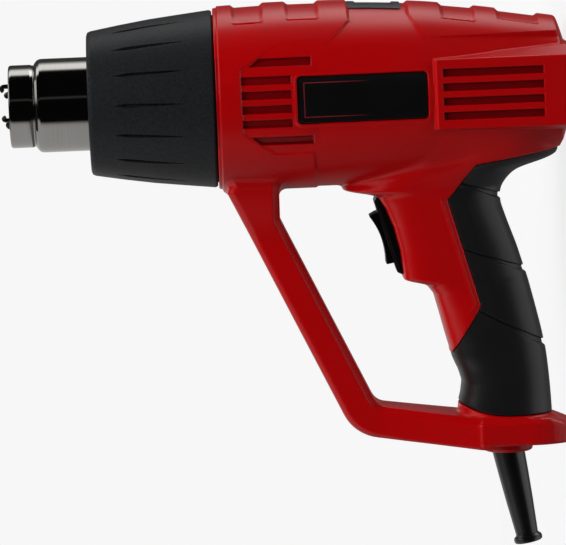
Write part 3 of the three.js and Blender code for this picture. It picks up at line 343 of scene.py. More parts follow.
def hand_loop(x, y, z):
    """The closed loop that guards the hand, with a wide chamfer on its inner edges."""
    wide = np.abs(y) - LOOP_HALF - 6.5 * ease(-62, -34, z) - 7.1 * np.clip((x - 150) / 42, 0, 1) ** 1.4
    shape = round_edge(outline(x, z, LOOP), wide, 3.2 - 2 * ease(140, 165, x))
    inner = outline(x, z, HAND_SPACE)
    return trim(shape, (wide - inner + 2.8) * CHAMFER, 0.5)


def rear_drop(x):
    """How far the heel's rear end drops."""
    return 0.33 * np.clip(x - 222.5, 0, None)


def grip_foot(x):
    """Height of the grip's lower end, which rises to the front."""
    return -138.6 + 6.2 * np.clip((208 - x) / 24, 0, 1) ** 2 - rear_drop(x)


def base(x, y, z):
    """The heel under the grip: an upright band with a sloping shoulder and a ring round the grip."""
    plan = outline(x, y, BASE)
    rise = z + 139.3 + rear_drop(x)
    shape = trim(np.maximum(plan, rise), (plan + rise + 1.7) * CHAMFER, 0.7)
    shape = round_edge(shape, BASE_LOW - z, 1.6)
    ring = round_edge(handle(x, y, z) - 0.7 + 0.8 * np.clip((200 - x) / 12, 0, 1), z - grip_foot(x), 0.6)
    return blend_in(shape, np.maximum(ring, -143 - z), 2)


def along_gland(x, y, z):
    """Places along the leaning gland, downwards, and away from its axis."""
    ax, az, lean = GLAND
    down = (x - ax) * math.sin(lean) - (z - az) * math.cos(lean)
    off = (x - ax) * math.cos(lean) + (z - az) * math.sin(lean)
    return down, np.sqrt(off * off + y * y)


def along_switch(x, z):
    """Places about the switch's pivot: inward, and up along its frame."""
    px, pz, lean = SWITCH
    inward = (x - px) * math.cos(lean) + (z - pz) * math.sin(lean)
    upward = (z - pz) * math.cos(lean) - (x - px) * math.sin(lean)
    return inward, upward


def red_body(x, y, z):
    """The whole red housing, filled."""
    fillet = 8 * np.clip((grip_side(x, z) + 3) / 20, 0.05, 1)
    shape = blend_in(barrel(x, y, z), red_handle(x, y, z), fillet)
    shape = np.maximum(shape, under_frame(x, z))
    shape = blend_in(shape, flare(x, y, z), 0.5)
    shape = blend_in(shape, hand_loop(x, y, z), 4)
    shape = blend_in(shape, base(x, y, z), 1.2)
    boss = np.sqrt((x - GLAND[0] - BOSS_BACK) ** 2 + y * y) - BOSS_R
    boss = round_edge(boss, BASE_LOW - BOSS_DEEP - z, 1.6)
    shape = blend_in(shape, np.maximum(boss, z - BASE_LOW - 6), 0.8)
    down, off = along_gland(x, y, z)
    return np.maximum(shape, -np.maximum(off - np.where(down > 1.9, 7.2, 6.4), -3 - down))


def vents(x, y, z, skin):
    """All the air slots; each falls a little inward, to a wall behind it, which the red finish darkens with
    painted shade.
    """
    depth = np.where(x < 150, -skin, flare_half(x) - np.abs(y))
    height = z + LOUVRE * depth
    row = np.clip(np.floor(height / VENT_PITCH), -2, 1) + 0.5
    ends = [np.abs(x - (front + rear) / 2) - (rear - front) / 2 for front, rear in (FRONT_VENT, REAR_VENT)]
    cut = np.maximum(np.minimum(*ends), np.abs(height - row * VENT_PITCH) - VENT_HALF)
    front, rear = LONG_VENT
    lean = LONG_VENT_SLANT / (2 * VENT_HALF)
    tall = np.abs(height) - LONG_VENT_Z
    slope = (front - x + lean * (tall + VENT_HALF)) / math.hypot(1, lean)
    slot = shared(slope, x - rear, np.abs(tall) - VENT_HALF)
    return np.maximum(np.minimum(cut, slot), depth - VENT_DEPTH)


SCREWS = {"top_front": (99.6, 30.4), "top_rear": (223, 20.6), "low_rear": (210, -22.4),
          "loop_stem": (103.5, -52), "handle_upper": (181.6, -39.4), "handle_lower": (184.4, -98),
          "loop_corner": (151.5, -139.6), "base": (190, -144.2)}
SCREW_HOLE_R = 3.4


def housing_half(side):
    """One half of the housing: -1 is the left one and 1 the right one, which takes the screws."""
    def field(x, y, z):
        shape = red_body(x, y, z)
        skin = barrel_skin(x, y, z)
        inner = np.minimum(skin, flare(x, y, z)) + WALL
        shape = np.maximum(shape, -np.maximum(inner, x - 229))
        shape = trim(shape, -np.maximum(vents(x, y, z, skin), 20 - np.abs(y)), 0.5)
        inward, upward = along_switch(x, z)
        seat = shared(upward - FRAME_TOP, FRAME_LOW - upward, np.abs(y) - FRAME_HALF) - 0.3
        shape = trim(shape, -shared(seat, inward - 2, -inward - 12), 0.4)
        if side > 0:
            for sx, sz in SCREWS.values():
                hole = np.sqrt((x - sx) ** 2 + (z - sz) ** 2) - SCREW_HOLE_R
                shape = trim(shape, -np.maximum(hole, 8 - y), 0.4)
        return trim(shape, 0.12 - side * y, 0.3)
    return field


def grip_half(side):
    """One half of the soft grip, with its three widening grooves."""
    def field(x, y, z):
        edge = grip_side(x, z)
        depth = 0.65 * ease(-8, 0, edge)
        for (x0, z0), (x1, z1) in GRIP_GROOVES:
            long = math.hypot(x1 - x0, z1 - z0)
            ax, az = (x1 - x0) / long, (z1 - z0) / long
            part = ((x - x0) * ax + (z - z0) * az) / long
            off = np.abs((z - z0) * ax - (x - x0) * az)
            wide = 0.25 + 1.0 * np.clip(part, 0, 1.4)
            depth = depth + 1.0 * np.clip((wide - off) / 0.3 + 0.3, 0, 1) * ease(-0.06, 0.02, part)
        skin = handle(x, y, z)
        shape = round_edge(skin + depth, edge + 0.12, 0.5)
        shape = round_edge(shape, grip_foot(x) + 0.3 - z, 0.8)
        shape = shared(shape, -GRIP_WALL - skin, GRIP_GAP - red_body(x, y, z))
        return trim(shape, 0.1 - side * y, 0.4)
    return field


def label_half(side):
    """The gloss plate of one flank."""
    shape = label_outline(0)

    def field(x, y, z):
        skin = barrel_skin(x, y, z) + panel_depth(x, z)
        plate = round_edge(skin + 0.45, outline(x, z, shape), 0.25)
        return shared(plate, -LABEL_WALL - skin, -side * y)
    return field


PLATE_X, PLATE_RIM, PLATE_BAR, PLATE_WALL = 154.75, (11.25, 12.5), (8, 9.2), 2.2


def top_plate(x, y, z):
    """The small plate on top: a raised frame round a sunk bar."""
    skin = barrel_skin(x, y, z)
    rim = round_edge(np.abs(x - PLATE_X) - PLATE_RIM[0], np.abs(y) - PLATE_RIM[1], 1.2)
    sunk = round_edge(np.abs(x - PLATE_X) - PLATE_BAR[0], np.abs(y) - PLATE_BAR[1], 0.8)
    face = skin + 0.55 + 0.55 * np.clip(-sunk / 0.5, 0, 1)
    return shared(round_edge(face, rim, 0.35), -PLATE_WALL - skin, -z)


def switch_frame(x, y, z):
    """The switch's bezel with its chamfered rim, the body behind it and the well for the rocker."""
    inward, upward = along_switch(x, z)
    ends = np.maximum(upward - FRAME_TOP, FRAME_LOW - upward)
    wide = np.abs(y) - FRAME_HALF
    face = FRAME_FACE + 0.045 * upward - inward
    shape = round_edge(ends, wide, 1.2)
    shape = trim(shape, (face + np.maximum(ends, wide) + 1.5) * CHAMFER, 0.3)
    shape = round_edge(np.maximum(shape, inward - 1.7), face, 0.25)
    tall, half, deep = SWITCH_BODY
    body = shared(np.abs(upward) - tall, np.abs(y) - half, inward - deep, -inward)
    tall, half, deep = SWITCH_WELL
    well = shared(np.abs(upward) - tall, np.abs(y) - half, inward - deep)
    return trim(np.minimum(shape, body), -well, 0.3)


def rocker(x, y, z):
    """The rocker's hollowed cap, its ends cut to clear the well as it tilts."""
    inward, upward = along_switch(x, z)
    hollow = -inward - 7 - 1.75 * ((upward - 0.8) / 10.6) ** 2
    ends = np.abs(upward - 0.2) - 10.9 - 0.15 * (8.7 + inward)
    shape = round_edge(ends, hollow, 0.6)
    shape = round_edge(shape, np.abs(y) - 6.4, 0.6)
    shape = np.maximum(shape, np.where(inward > -5, np.sqrt(inward ** 2 + upward ** 2) - 12.4, -1))
    return np.maximum(shape, inward - 1.6 + 0.28 * np.abs(upward))


# Meshes

def mesh_piece(name, points, faces, normals=None):
    """An object from points of the held tool and faces with the same number of corners."""
    mesh = bpy.data.meshes.new(name)
    corners = np.asarray(faces, np.int32)
    count, sides = corners.shape
    mesh.vertices.add(len(points))
    mesh.vertices.foreach_set("co", stood(points).astype(np.float32).ravel())
    mesh.loops.add(count * sides)
    mesh.loops.foreach_set("vertex_index", corners.ravel())
    mesh.polygons.add(count)
    mesh.polygons.foreach_set("loop_start", np.arange(0, count * sides, sides, dtype=np.int32))
    mesh.polygons.foreach_set("use_smooth", np.full(count, True))
    mesh.update(calc_edges=True)
    mesh.validate()
    if normals is not None:
        x, y, z = np.asarray(normals).T
        mesh.normals_split_custom_set_from_vertices(np.column_stack((z, y, -x)).tolist())
    piece = bpy.data.objects.new(name, mesh)
    scene.collection.objects.link(piece)
    return piece


CORNERS = np.array([(i, j, k) for i in (0, 1) for j in (0, 1) for k in (0, 1)])
EDGES = [(a, b) for a in range(8) for b in range(a + 1, 8) if np.abs(CORNERS[a] - CORNERS[b]).sum() == 1]


def surface(field, low, high, cell):
    """Points, four-cornered faces and normals of the surface where the field is zero."""
    axes = [np.arange(a, b + cell, cell, dtype=np.float32) for a, b in zip(low, high)]
    level = field(axes[0][:, None, None], axes[1][None, :, None], axes[2][None, None, :])
    inside = level < 0
    shape = np.array(inside.shape)
    count = np.zeros(shape - 1, np.int8)
    for i, j, k in CORNERS:
        count += inside[i:shape[0] - 1 + i, j:shape[1] - 1 + j, k:shape[2] - 1 + k]
    cells = np.argwhere((count > 0) & (count < 8))
    number = np.full(shape - 1, -1, np.int32)
    number[tuple(cells.T)] = np.arange(len(cells))
    total, hits = np.zeros((len(cells), 3)), np.zeros((len(cells), 1))
    for a, b in EDGES:
        at_a = level[tuple((cells + CORNERS[a]).T)].astype(float)
        at_b = level[tuple((cells + CORNERS[b]).T)].astype(float)
        crossed = ((at_a < 0) != (at_b < 0))[:, None]
        part = np.where(crossed[:, 0], at_a / np.where(at_a == at_b, 1, at_a - at_b), 0)[:, None]
        total += crossed * (CORNERS[a] + part * (CORNERS[b] - CORNERS[a]))
        hits += crossed
    points = np.array(low) + (cells + total / hits) * cell
    faces = []
    for axis in range(3):
        one, two = [k for k in range(3) if k != axis]
        here = [slice(None)] * 3
        here[axis] = slice(0, -1)
        next_ = [slice(None)] * 3
        next_[axis] = slice(1, None)
        flips = np.argwhere(inside[tuple(here)] != inside[tuple(next_)])
        flips = flips[(flips[:, one] > 0) & (flips[:, two] > 0)
                      & (flips[:, one] < shape[one] - 1) & (flips[:, two] < shape[two] - 1)]
        ring = []
        for d_one, d_two in ((1, 1), (0, 1), (0, 0), (1, 0)):
            cell_at = flips.copy()
            cell_at[:, one] -= d_one
            cell_at[:, two] -= d_two
            ring.append(number[tuple(cell_at.T)])
        quads = np.column_stack(ring)
        outward = inside[tuple(flips.T)] ^ (axis == 1)
        quads[~outward] = quads[~outward][:, ::-1]
        faces.append(quads)
    faces = np.vstack(faces)
    for _ in range(2):
        value, slope = gradient(field, points)
        step = value[:, None] * slope / np.maximum((slope * slope).sum(1, keepdims=True), 0.2)
        points = points - np.clip(step, -0.6 * cell, 0.6 * cell)
    _, slope = gradient(field, points)
    return points, faces, slope / np.maximum(np.linalg.norm(slope, axis=1, keepdims=True), 1e-6)


def gradient(field, points, step=0.05):
    """The field and its slope at points."""
    x, y, z = points.T
    value = field(x, y, z)
    slope = [field(x + step, y, z) - value, field(x, y + step, z) - value, field(x, y, z + step) - value]
    return value, np.column_stack(slope) / step


def moulded(name, field, low, high, cell, node, slot, body="tool"):
    """A moulded piece from its distance field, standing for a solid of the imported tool."""
    piece = mesh_piece(name, *surface(field, low, high, cell * COARSE))
    return settle(piece, body, slot, node)


def settle(piece, body, slot, *nodes):
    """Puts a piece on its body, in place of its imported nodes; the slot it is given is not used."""
    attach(piece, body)
    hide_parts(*nodes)
    return piece


def ring_faces(rings, sides, closed):
    """Faces between rings of points; a closed run joins its last ring to its first."""
    made = []
    for ring in range(rings if closed else rings - 1):
        near = ring * sides
        far = ((ring + 1) % rings) * sides
        side = np.arange(sides)
        after = (side + 1) % sides
        made.append(np.column_stack((near + side, near + after, far + after, far + side)))
    return np.vstack(made)


def turned(name, profile, angles, place, groove=None):
    """A closed body turned from a closed profile of (along, radius); place puts a ring point in the tool."""
    rows = []
    for along, radius in profile:
        out = np.full(len(angles), float(radius))
        if groove:
            out = out - groove(along, angles, radius)
        rows.append(place(np.full(len(angles), float(along)), out * np.cos(angles), out * np.sin(angles)))
    piece = mesh_piece(name, np.vstack(rows), ring_faces(len(profile), len(angles), True))
    piece.data.set_sharp_from_angle(angle=math.radians(38))
    return piece


def even(count):
    """Angles of an even circle."""
    return np.arange(count) * 2 * math.pi / count


def on_axis(along, across, up):
    """Points turned about the barrel's axis."""
    return np.column_stack((along, across, up))


def on_gland(along, across, up):
    """Points turned about the gland's leaning axis."""
    ax, az, lean = GLAND
    x = ax + along * math.sin(lean) + up * math.cos(lean)
    z = az - along * math.cos(lean) + up * math.sin(lean)
    return np.column_stack((x, across, z))


def eased_profile(points, step=0.5, radius=0.4):
    """A closed profile with its corners slightly rounded and its long runs divided."""
    rounded = cornered([(a, r, radius) for a, r in points], 3)
    made = []
    for (a0, r0), (a1, r1) in zip(rounded, rounded[1:] + rounded[:1]):
        parts = max(1, int(math.hypot(a1 - a0, r1 - r0) / step))
        for k in range(parts):
            made.append((a0 + (a1 - a0) * k / parts, r0 + (r1 - r0) * k / parts))
    return made


# The housing and its grips

def moulded_pair(name, half, low, high, cell, node, slot):
    """A left and a right piece; low and high are the corners of the right one's space."""
    pair = []
    for side, word in ((-1, "left"), (1, "right")):
        near, far = sorted((side * low[1], side * high[1]))
        pair.append(moulded(f"{name}_{word}", half(side), (low[0], near, low[2]), (high[0], far, high[2]),
                            cell, f"{node}_{word}", slot))
    return pair


shells = moulded_pair("shell", housing_half, (85, -0.8, -158), (238, 39.5, 41.5), 0.46,
                      "housing", "red_housing")
soft_grips = moulded_pair("soft_grip", grip_half, (164, -0.8, -139), (235, 29, -22), 0.5,
                          "grip", "soft_grip")
labels = moulded_pair("label_plate", label_half, (120, 32, -11), (179, 40, 11), 0.4,
                      "side_label", "gloss_plate")
plate = moulded("crown_plate", top_plate, (142, -14, 30), (168, 14, 41), 0.4, "top_plate", "grey_plate")
bezel = moulded("switch_bezel", switch_frame, (145, -10.5, -85), (186, 10.5, -38), 0.4,
                "switch_body", "black_switch")
paddle = moulded("switch_paddle", rocker, (146, -7.5, -76), (168, 7.5, -44), 0.35,
                 "switch_rocker", "black_switch", "rocker")

# The heat collar
COLLAR = [(33.5, 20.1), (33.5, 28.9), (34.0, 30.0), (35.2, 30.55), (47, 32.6), (60, 34.6), (73, 36.1),
          (85.6, 37.5), (86.6, 36.9), (86.6, 35.3), (93.6, 35.3), (93.6, 32.7), (82.6, 32.7), (39.5, 27.5),
          (36.1, 24.5), (36.1, 20.1)]
GROOVES, GROOVE_TURN, GROOVE_FRONT, GROOVE_REAR = 16, math.radians(-0.8), 43.8, 75.6
PITCH = 2 * math.pi / GROOVES


def collar_groove(along, angles, radius):
    """Slim leaf-shaped grooves, widest near the front."""
    part = (along - GROOVE_FRONT) / (GROOVE_REAR - GROOVE_FRONT)
    if radius < 31 or not 0 < part < 1:
        return 0
    off = np.abs((angles - GROOVE_TURN + PITCH / 2) % PITCH - PITCH / 2) * radius
    wide = 0.85 * min(1, part / 0.18) ** 0.8 * min(1, (1 - part) / 0.7) ** 0.7
    return 1.5 * np.clip((wide - off) / 0.3, 0, 1) * min(1, 6 * part, 4 * (1 - part))


# Ring angles crowd together at the grooves so that their edges stay crisp
offsets = np.concatenate((np.linspace(-1.1, 1.1, 21), np.linspace(1.8, 11.6, 11))) / 34.6
collar_angles = (offsets[None, :] + np.arange(GROOVES)[:, None] * PITCH).ravel() + GROOVE_TURN
collar = turned("heat_collar", eased_profile(COLLAR, 0.45, 0.3), collar_angles, on_axis, collar_groove)
settle(collar, "tool", "black_collar", "front_collar")

# The chromed outlet tube
TUBE = [(0.0, 16.3), (0.1, 16.9), (0.5, 17.35), (1.3, 17.5), (9.2, 17.5), (10.1, 17.15), (10.6, 17.2),
        (11.2, 18.2), (12.1, 19.2), (13.2, 19.7), (14.4, 19.8), (104, 19.8), (104, 24), (106, 24),
        (106, 19.0), (13.3, 19.0), (11.4, 18.0), (10.2, 16.6), (1, 16.5), (0.3, 16.1)]
tube = turned("chromed_tube", eased_profile(TUBE, 2.0, 0.25), even(192), on_axis)
settle(tube, "tool", "chromed_tube", "outlet_tube")

# Heater rods with their ends bent over, and the wound heating coil
ROD_R, ROD_TIP_R, ROD_END_R, ROD_BEND, ROD_REAR = 0.95, 0.6, 0.05, 1.2, 104.0
ROD_CIRCLE, ROD_TURN = 10.3, 29.4
ROD_REACH = (1.7, 3.0, 2.4, 1.3)


def bent_rod(number, place, reach):
    """A rod along the barrel at a place of (y, z); its end reaches past the rim and bends over."""
    ry, rz = place
    away = np.array([0, ry, rz]) / math.hypot(ry, rz)
    path = [np.array([ROD_REAR, ry, rz]), np.array([ROD_BEND - reach, ry, rz])]
    for k in range(1, 9):
        turn = math.radians(150) * k / 8
        path.append(path[1] + ROD_BEND * (np.array([-math.sin(turn), 0, 0]) - away * (1 - math.cos(turn))))
    sides = even(14)
    across = np.array([0, -away[2], away[1]])
    rings = []
    for i, middle in enumerate(path):
        way = path[min(i + 1, len(path) - 1)] - path[max(i - 1, 0)]
        way = way / np.linalg.norm(way)
        out = np.cross(way, across)
        spin = np.cos(sides)[:, None] * across + np.sin(sides)[:, None] * out
        sizes = [ROD_R]
        if i == 0:
            sizes = [ROD_END_R, ROD_R]
        elif i == len(path) - 1:
            sizes = [ROD_R, ROD_TIP_R, ROD_END_R]
        for size in sizes:
            rings.append(middle + way * (ROD_R - size) * 0.4 * (i > 0) + size * spin)
    rod = mesh_piece(f"rod_tip_{number}", np.vstack(rings), ring_faces(len(rings), len(sides), False))
    return settle(rod, "tool", "steel", f"heater_rod_{number}")


rods = []
for i, reach in enumerate(ROD_REACH):
    turn = math.radians(ROD_TURN + 90 * i)
    rods.append(bent_rod(i + 1, (ROD_CIRCLE * math.cos(turn), ROD_CIRCLE * math.sin(turn)), reach))

COIL_TURNS, COIL_STEPS, COIL_SIDES = 10, 48, 10
COIL_FRONT, COIL_LONG, COIL_R, WIRE_R = 22, 66, 13.4, 0.55
t = np.linspace(0, 1, COIL_TURNS * COIL_STEPS + 1)[:, None]
phase = t * COIL_TURNS * 2 * math.pi
ring = even(COIL_SIDES)[None, :]
coil_x = COIL_FRONT + COIL_LONG * t + WIRE_R * np.sin(ring)
coil_r = COIL_R + WIRE_R * np.cos(ring)
coil_points = np.stack((coil_x, coil_r * np.cos(phase), coil_r * np.sin(phase)), -1)
coil_faces = ring_faces(len(t), COIL_SIDES, False)[:, ::-1]
coil = mesh_piece("heater_winding", coil_points.reshape(-1, 3), coil_faces)
settle(coil, "tool", "resistance_wire", "heating_coil")

# Strain relief with its flared lip
RELIEF = [(-3.9, 3.3), (-3.9, 8.4), (-1.5, 8.4), (-1.5, 6.0), (2.3, 6.0), (2.3, 6.9), (14, 6.4), (26, 5.75),
          (37, 5.0), (40.8, 4.75), (41.4, 5.0), (42, 5.8), (42.8, 6.1), (44.0, 6.0), (44.4, 5.5), (44.4, 3.3)]
relief = turned("strain_sleeve", eased_profile(RELIEF, 1.5, 0.25), even(72), on_gland)
settle(relief, "tool", "soft_grip", "strain_relief")


# Finishes

def node_group(name, inputs, outputs):
    """A shader group with named sockets; returns the group, what comes in and what goes out."""
    group = bpy.data.node_groups.new(name, "ShaderNodeTree")
    for label, value in inputs:
        socket = group.interface.new_socket(name=label, in_out="INPUT", socket_type="NodeSocketFloat")
        socket.default_value = value
    for label in outputs:
        group.interface.new_socket(name=label, in_out="OUTPUT", socket_type="NodeSocketFloat")
    return group, group.nodes.new("NodeGroupInput").outputs, group.nodes.new("NodeGroupOutput").inputs


def feed(tree, socket, value):
    """Gives an input a value, or a link from another node's output."""
    if isinstance(value, bpy.types.NodeSocket):
        tree.links.new(value, socket)
    else:
        socket.default_value = value


def add(tree, kind, **values):
    """A node with its settings, and its inputs fed by values or outputs."""
    node = tree.nodes.new(kind)
    for key, value in values.items():
        if hasattr(node, key):
            setattr(node, key, value)
        else:
            feed(tree, node.inputs[key.replace("_", " ")], value)
    return node


def math_of(tree, operation, *values):
    """The outcome of a maths node."""
    node = add(tree, "ShaderNodeMath", operation=operation)
    for socket, value in zip(node.inputs, values):
        feed(tree, socket, value)
    return node.outputs[0]


def ranged(tree, value, **ends):
    """A value taken from one range to another; both are 0 to 1 where nothing else is said."""
    return add(tree, "ShaderNodeMapRange", Value=value, **ends).outputs["Result"]


def mixed(tree, mask, first, second):
    """A colour that goes from the first to the second as a mask goes from 0 to 1."""
    node = add(tree, "ShaderNodeMix", data_type="RGBA")
    for number, value in ((0, mask), (6, first), (7, second)):
        feed(tree, node.inputs[number], value)
    return node.outputs[2]


def own_place(tree):
    """The place on a piece, which is its place in the row frame at rest."""
    return tree.nodes.new("ShaderNodeTexCoord").outputs["Object"]


def noise(tree, place, scale, **settings):
    """Noise over a place."""
    return add(tree, "ShaderNodeTexNoise", Vector=place, Scale=scale, **settings).outputs["Fac"]


def surface_grain():
    """Fine moulded grain: a height for the bump and a slow mottle for tone and gloss."""
    group, given, result = node_group("surface_grain", [("Fineness", 2400.0), ("Mottle Size", 60.0)],
                                      ["Height", "Mottle"])
    place = own_place(group)
    fine = noise(group, place, given["Fineness"], Detail=2.0, Roughness=0.55)
    slow = noise(group, place, given["Mottle Size"], Detail=1.0, Roughness=0.5)
    group.links.new(fine, result["Height"])
    group.links.new(slow, result["Mottle"])
    return group


def edge_wear_and_highlight():
    """Lighter sharp outer edges in patches: partly wear, partly painted highlight."""
    group, given, result = node_group("edge_wear_and_highlight", [("From", 0.52), ("To", 0.62), ("Patchiness", 300.0)],
                                      ["Mask"])
    shape = group.nodes.new("ShaderNodeNewGeometry")
    edges = ranged(group, shape.outputs["Pointiness"], From_Min=given["From"], From_Max=given["To"])
    patches = noise(group, own_place(group), given["Patchiness"], Detail=3.0)
    group.links.new(math_of(group, "MULTIPLY", edges, patches), result["Mask"])
    return group


def drawn_lines():
    """Streaks along one direction, as on drawn or turned metal."""
    group, given, result = node_group("drawn_lines", [("Across", 900.0), ("Along", 20.0)],
                                      ["Height", "Streak"])
    stretch = add(group, "ShaderNodeCombineXYZ", X=given["Along"], Y=given["Along"], Z=given["Across"])
    scaled = add(group, "ShaderNodeVectorMath", operation="MULTIPLY")
    group.links.new(own_place(group), scaled.inputs[0])
    group.links.new(stretch.outputs["Vector"], scaled.inputs[1])
    lines = noise(group, scaled.outputs["Vector"], 1.0, Detail=3.0)
    for socket in result["Height"], result["Streak"]:
        group.links.new(lines, socket)
    return group


GRAIN, EDGE_WEAR_AND_HIGHLIGHT, LINES = surface_grain(), edge_wear_and_highlight(), drawn_lines()


def linear(*levels):
    """A colour from its 0 to 255 levels on a screen."""
    return tuple(c / 12.92 / 255 if c < 10.3 else ((c / 255 + 0.055) / 1.055) ** 2.4 for c in levels) + (1,)


TONES = {"From_Min": 0.15, "From_Max": 0.85}    # nearly all of a noise lies between these


def finish(name, first, second, gloss, metal=0.0, fineness=2400.0, mottle=60.0, depth=0.02, bump=0.25,
           wear_and_highlight=None, streak=None, specular=0.5):
    """A procedural finish: two tones by mottle or streaks, a gloss range, grain and lighter edges that are
    partly wear and partly painted highlight.
    """
    material = bpy.data.materials.new(name)
    material.use_nodes = True
    tree = material.node_tree
    shader = tree.nodes["Principled BSDF"].inputs
    shader["Metallic"].default_value = metal
    shader["Specular IOR Level"].default_value = specular
    if streak:
        grain = add(tree, "ShaderNodeGroup", node_tree=LINES, Across=streak[0], Along=streak[1])
        tone = grain.outputs["Streak"]
    else:
        grain = add(tree, "ShaderNodeGroup", node_tree=GRAIN, Fineness=fineness, Mottle_Size=mottle)
        tone = grain.outputs["Mottle"]
    colour = mixed(tree, ranged(tree, tone, **TONES), linear(*first), linear(*second))
    # Lighter outer edges: partly wear, partly painted highlight
    if wear_and_highlight:
        wear_and_highlight_node = add(tree, "ShaderNodeGroup", node_tree=EDGE_WEAR_AND_HIGHLIGHT)
        colour = mixed(tree, wear_and_highlight_node.outputs["Mask"], colour, linear(*wear_and_highlight))
    feed(tree, shader["Base Color"], colour)
    feed(tree, shader["Roughness"], ranged(tree, tone, **TONES, To_Min=gloss[0], To_Max=gloss[1]))
    lift = add(tree, "ShaderNodeBump", Strength=bump, Distance=depth * MM, Height=grain.outputs["Height"])
    feed(tree, shader["Normal"], lift.outputs["Normal"])
    return material


def lay_over(material, mask, colour):
    """Lays a colour over a finish where a mask is 1."""
    tree = material.node_tree
    socket = tree.nodes["Principled BSDF"].inputs["Base Color"]
    feed(tree, socket, mixed(tree, mask, socket.links[0].from_socket, colour))


def row_axes(tree):
    """The place on a piece as three outputs, X, Y and Z."""
    return add(tree, "ShaderNodeSeparateXYZ", Vector=own_place(tree)).outputs


def dress(material, *pieces):
    """Gives pieces one material."""
    for piece in pieces:
        piece.data.materials.clear()
        piece.data.materials.append(material)


red = finish("red_moulding", (177, 2, 5), (171, 2, 5), (0.28, 0.31), fineness=1500, depth=0.03, bump=0.5,
             specular=0.34)
# The last tone given to a finish is its edge colour: partly wear, partly painted highlight
collar_black = finish("heatproof_black", (36, 37, 39), (19, 20, 22), (0.42, 0.5), fineness=1500, mottle=1100,
                      depth=0.06, bump=0.6, wear_and_highlight=(42, 43, 46), specular=0.18)
rubber = finish("soft_touch_black", (22, 22, 23), (17, 17, 18), (0.36, 0.44), fineness=1800, depth=0.04,
                bump=0.6, wear_and_highlight=(34, 34, 36))
sleeve_black = finish("sleeve_black", (9, 9, 11), (6, 6, 8), (0.28, 0.36), streak=(25, 1400), depth=0.02,
                      bump=0.3, specular=0.8)
chrome = finish("chromed_steel", (160, 158, 155), (153, 151, 147), (0.06, 0.1), metal=1.0, streak=(1400, 6),
                depth=0.004, bump=0.05)
switch_black = finish("switch_nylon", (9, 9, 9), (6, 6, 6), (0.3, 0.4), fineness=3000, depth=0.02, bump=0.2,
                      wear_and_highlight=(26, 26, 28), specular=0.14)
plate_grey = finish("plate_grey", (42, 43, 48), (37, 38, 43), (0.38, 0.48), depth=0.02, bump=0.25,
                    wear_and_highlight=(110, 112, 116), specular=0.3)
rod_dark = finish("scaled_steel", (70, 68, 66), (36, 35, 35), (0.25, 0.45), metal=1.0, mottle=500, depth=0.03,
                  bump=0.2)
screw_steel = finish("zinc_steel", (176, 177, 180), (140, 141, 146), (0.25, 0.4), metal=1.0, mottle=400)
mica_sheet = finish("mica_sheet", (190, 172, 134), (160, 140, 104), (0.4, 0.6), mottle=300, depth=0.05)
wire = finish("resistance_alloy", (120, 110, 104), (84, 72, 68), (0.35, 0.5), metal=1.0, mottle=400)
brass = finish("brass_strip", (190, 155, 84), (170, 132, 66), (0.25, 0.4), metal=1.0, streak=(700, 30))
board = finish("board_green", (32, 92, 60), (26, 76, 50), (0.4, 0.55), mottle=200)
cream = finish("cream_nylon", (214, 206, 184), (202, 192, 168), (0.45, 0.55), mottle=120)
guide_dark = finish("guide_resin", (40, 30, 28), (30, 22, 21), (0.5, 0.6), mottle=120)
fan_black = finish("fan_nylon", (30, 30, 32), (24, 24, 26), (0.4, 0.5), mottle=150)


def gloss_label():
    """Gloss black plate with a thin dark red outline that fades to the back."""
    material = finish("gloss_plate", (16, 15, 16), (11, 10, 11), (0.16, 0.24), mottle=40,
                      depth=0.004, bump=0.05)
    tree = material.node_tree
    row = row_axes(tree)
    front, rear, half, _ = LABEL
    middle = (RIM - (front + rear) / 2) * MM
    tall = math_of(tree, "ABSOLUTE", math_of(tree, "SUBTRACT", row["X"], AXIS * MM))
    long = math_of(tree, "ABSOLUTE", math_of(tree, "SUBTRACT", row["Z"], middle))
    off_tall = math_of(tree, "SUBTRACT", tall, (half - 2.5) * MM)
    off_long = math_of(tree, "SUBTRACT", long, ((rear - front) / 2 - 2.6) * MM)
    off = math_of(tree, "ABSOLUTE", math_of(tree, "MAXIMUM", off_tall, off_long))
    line = ranged(tree, off, From_Min=0.26 * MM, From_Max=0.16 * MM)
    fade = ranged(tree, row["Z"], From_Min=(RIM - 152) * MM, From_Max=(RIM - 136) * MM)
    lay_over(material, math_of(tree, "MULTIPLY", line, fade), linear(112, 30, 34))
    return material


# Where the painted shade of the slots starts and is full: along the row's z, up from the axis, and out from
# it
FRONT_SHADE = ((RIM - 130, RIM - 129), (19, 18.4), (38.3, 37.9))
REAR_SHADE = ((RIM - 180, RIM - 180.6), (14, 13.6), (36.7, 36.3))


def paint_vent_shade(material):
    """Paints shade on the walls inside the air slots: the red is darkened there."""
    tree = material.node_tree
    row = row_axes(tree)
    up = math_of(tree, "SUBTRACT", row["X"], AXIS * MM)
    tall = math_of(tree, "ABSOLUTE", up)
    wide = math_of(tree, "ABSOLUTE", row["Y"])
    squares = [math_of(tree, "MULTIPLY", part, part) for part in (up, wide)]
    away = math_of(tree, "SQRT", math_of(tree, "ADD", *squares))
    masks = []
    for spans, out in ((FRONT_SHADE, away), (REAR_SHADE, wide)):
        steps = [ranged(tree, value, From_Min=low * MM, From_Max=high * MM)
                 for value, (low, high) in zip((row["Z"], tall, out), spans)]
        masks.append(math_of(tree, "MULTIPLY", math_of(tree, "MULTIPLY", *steps[:2]), steps[2]))
    # Painted shade: a deep red laid over the red where the slot walls lie
    lay_over(material, math_of(tree, "MAXIMUM", *masks), linear(112, 0, 5))
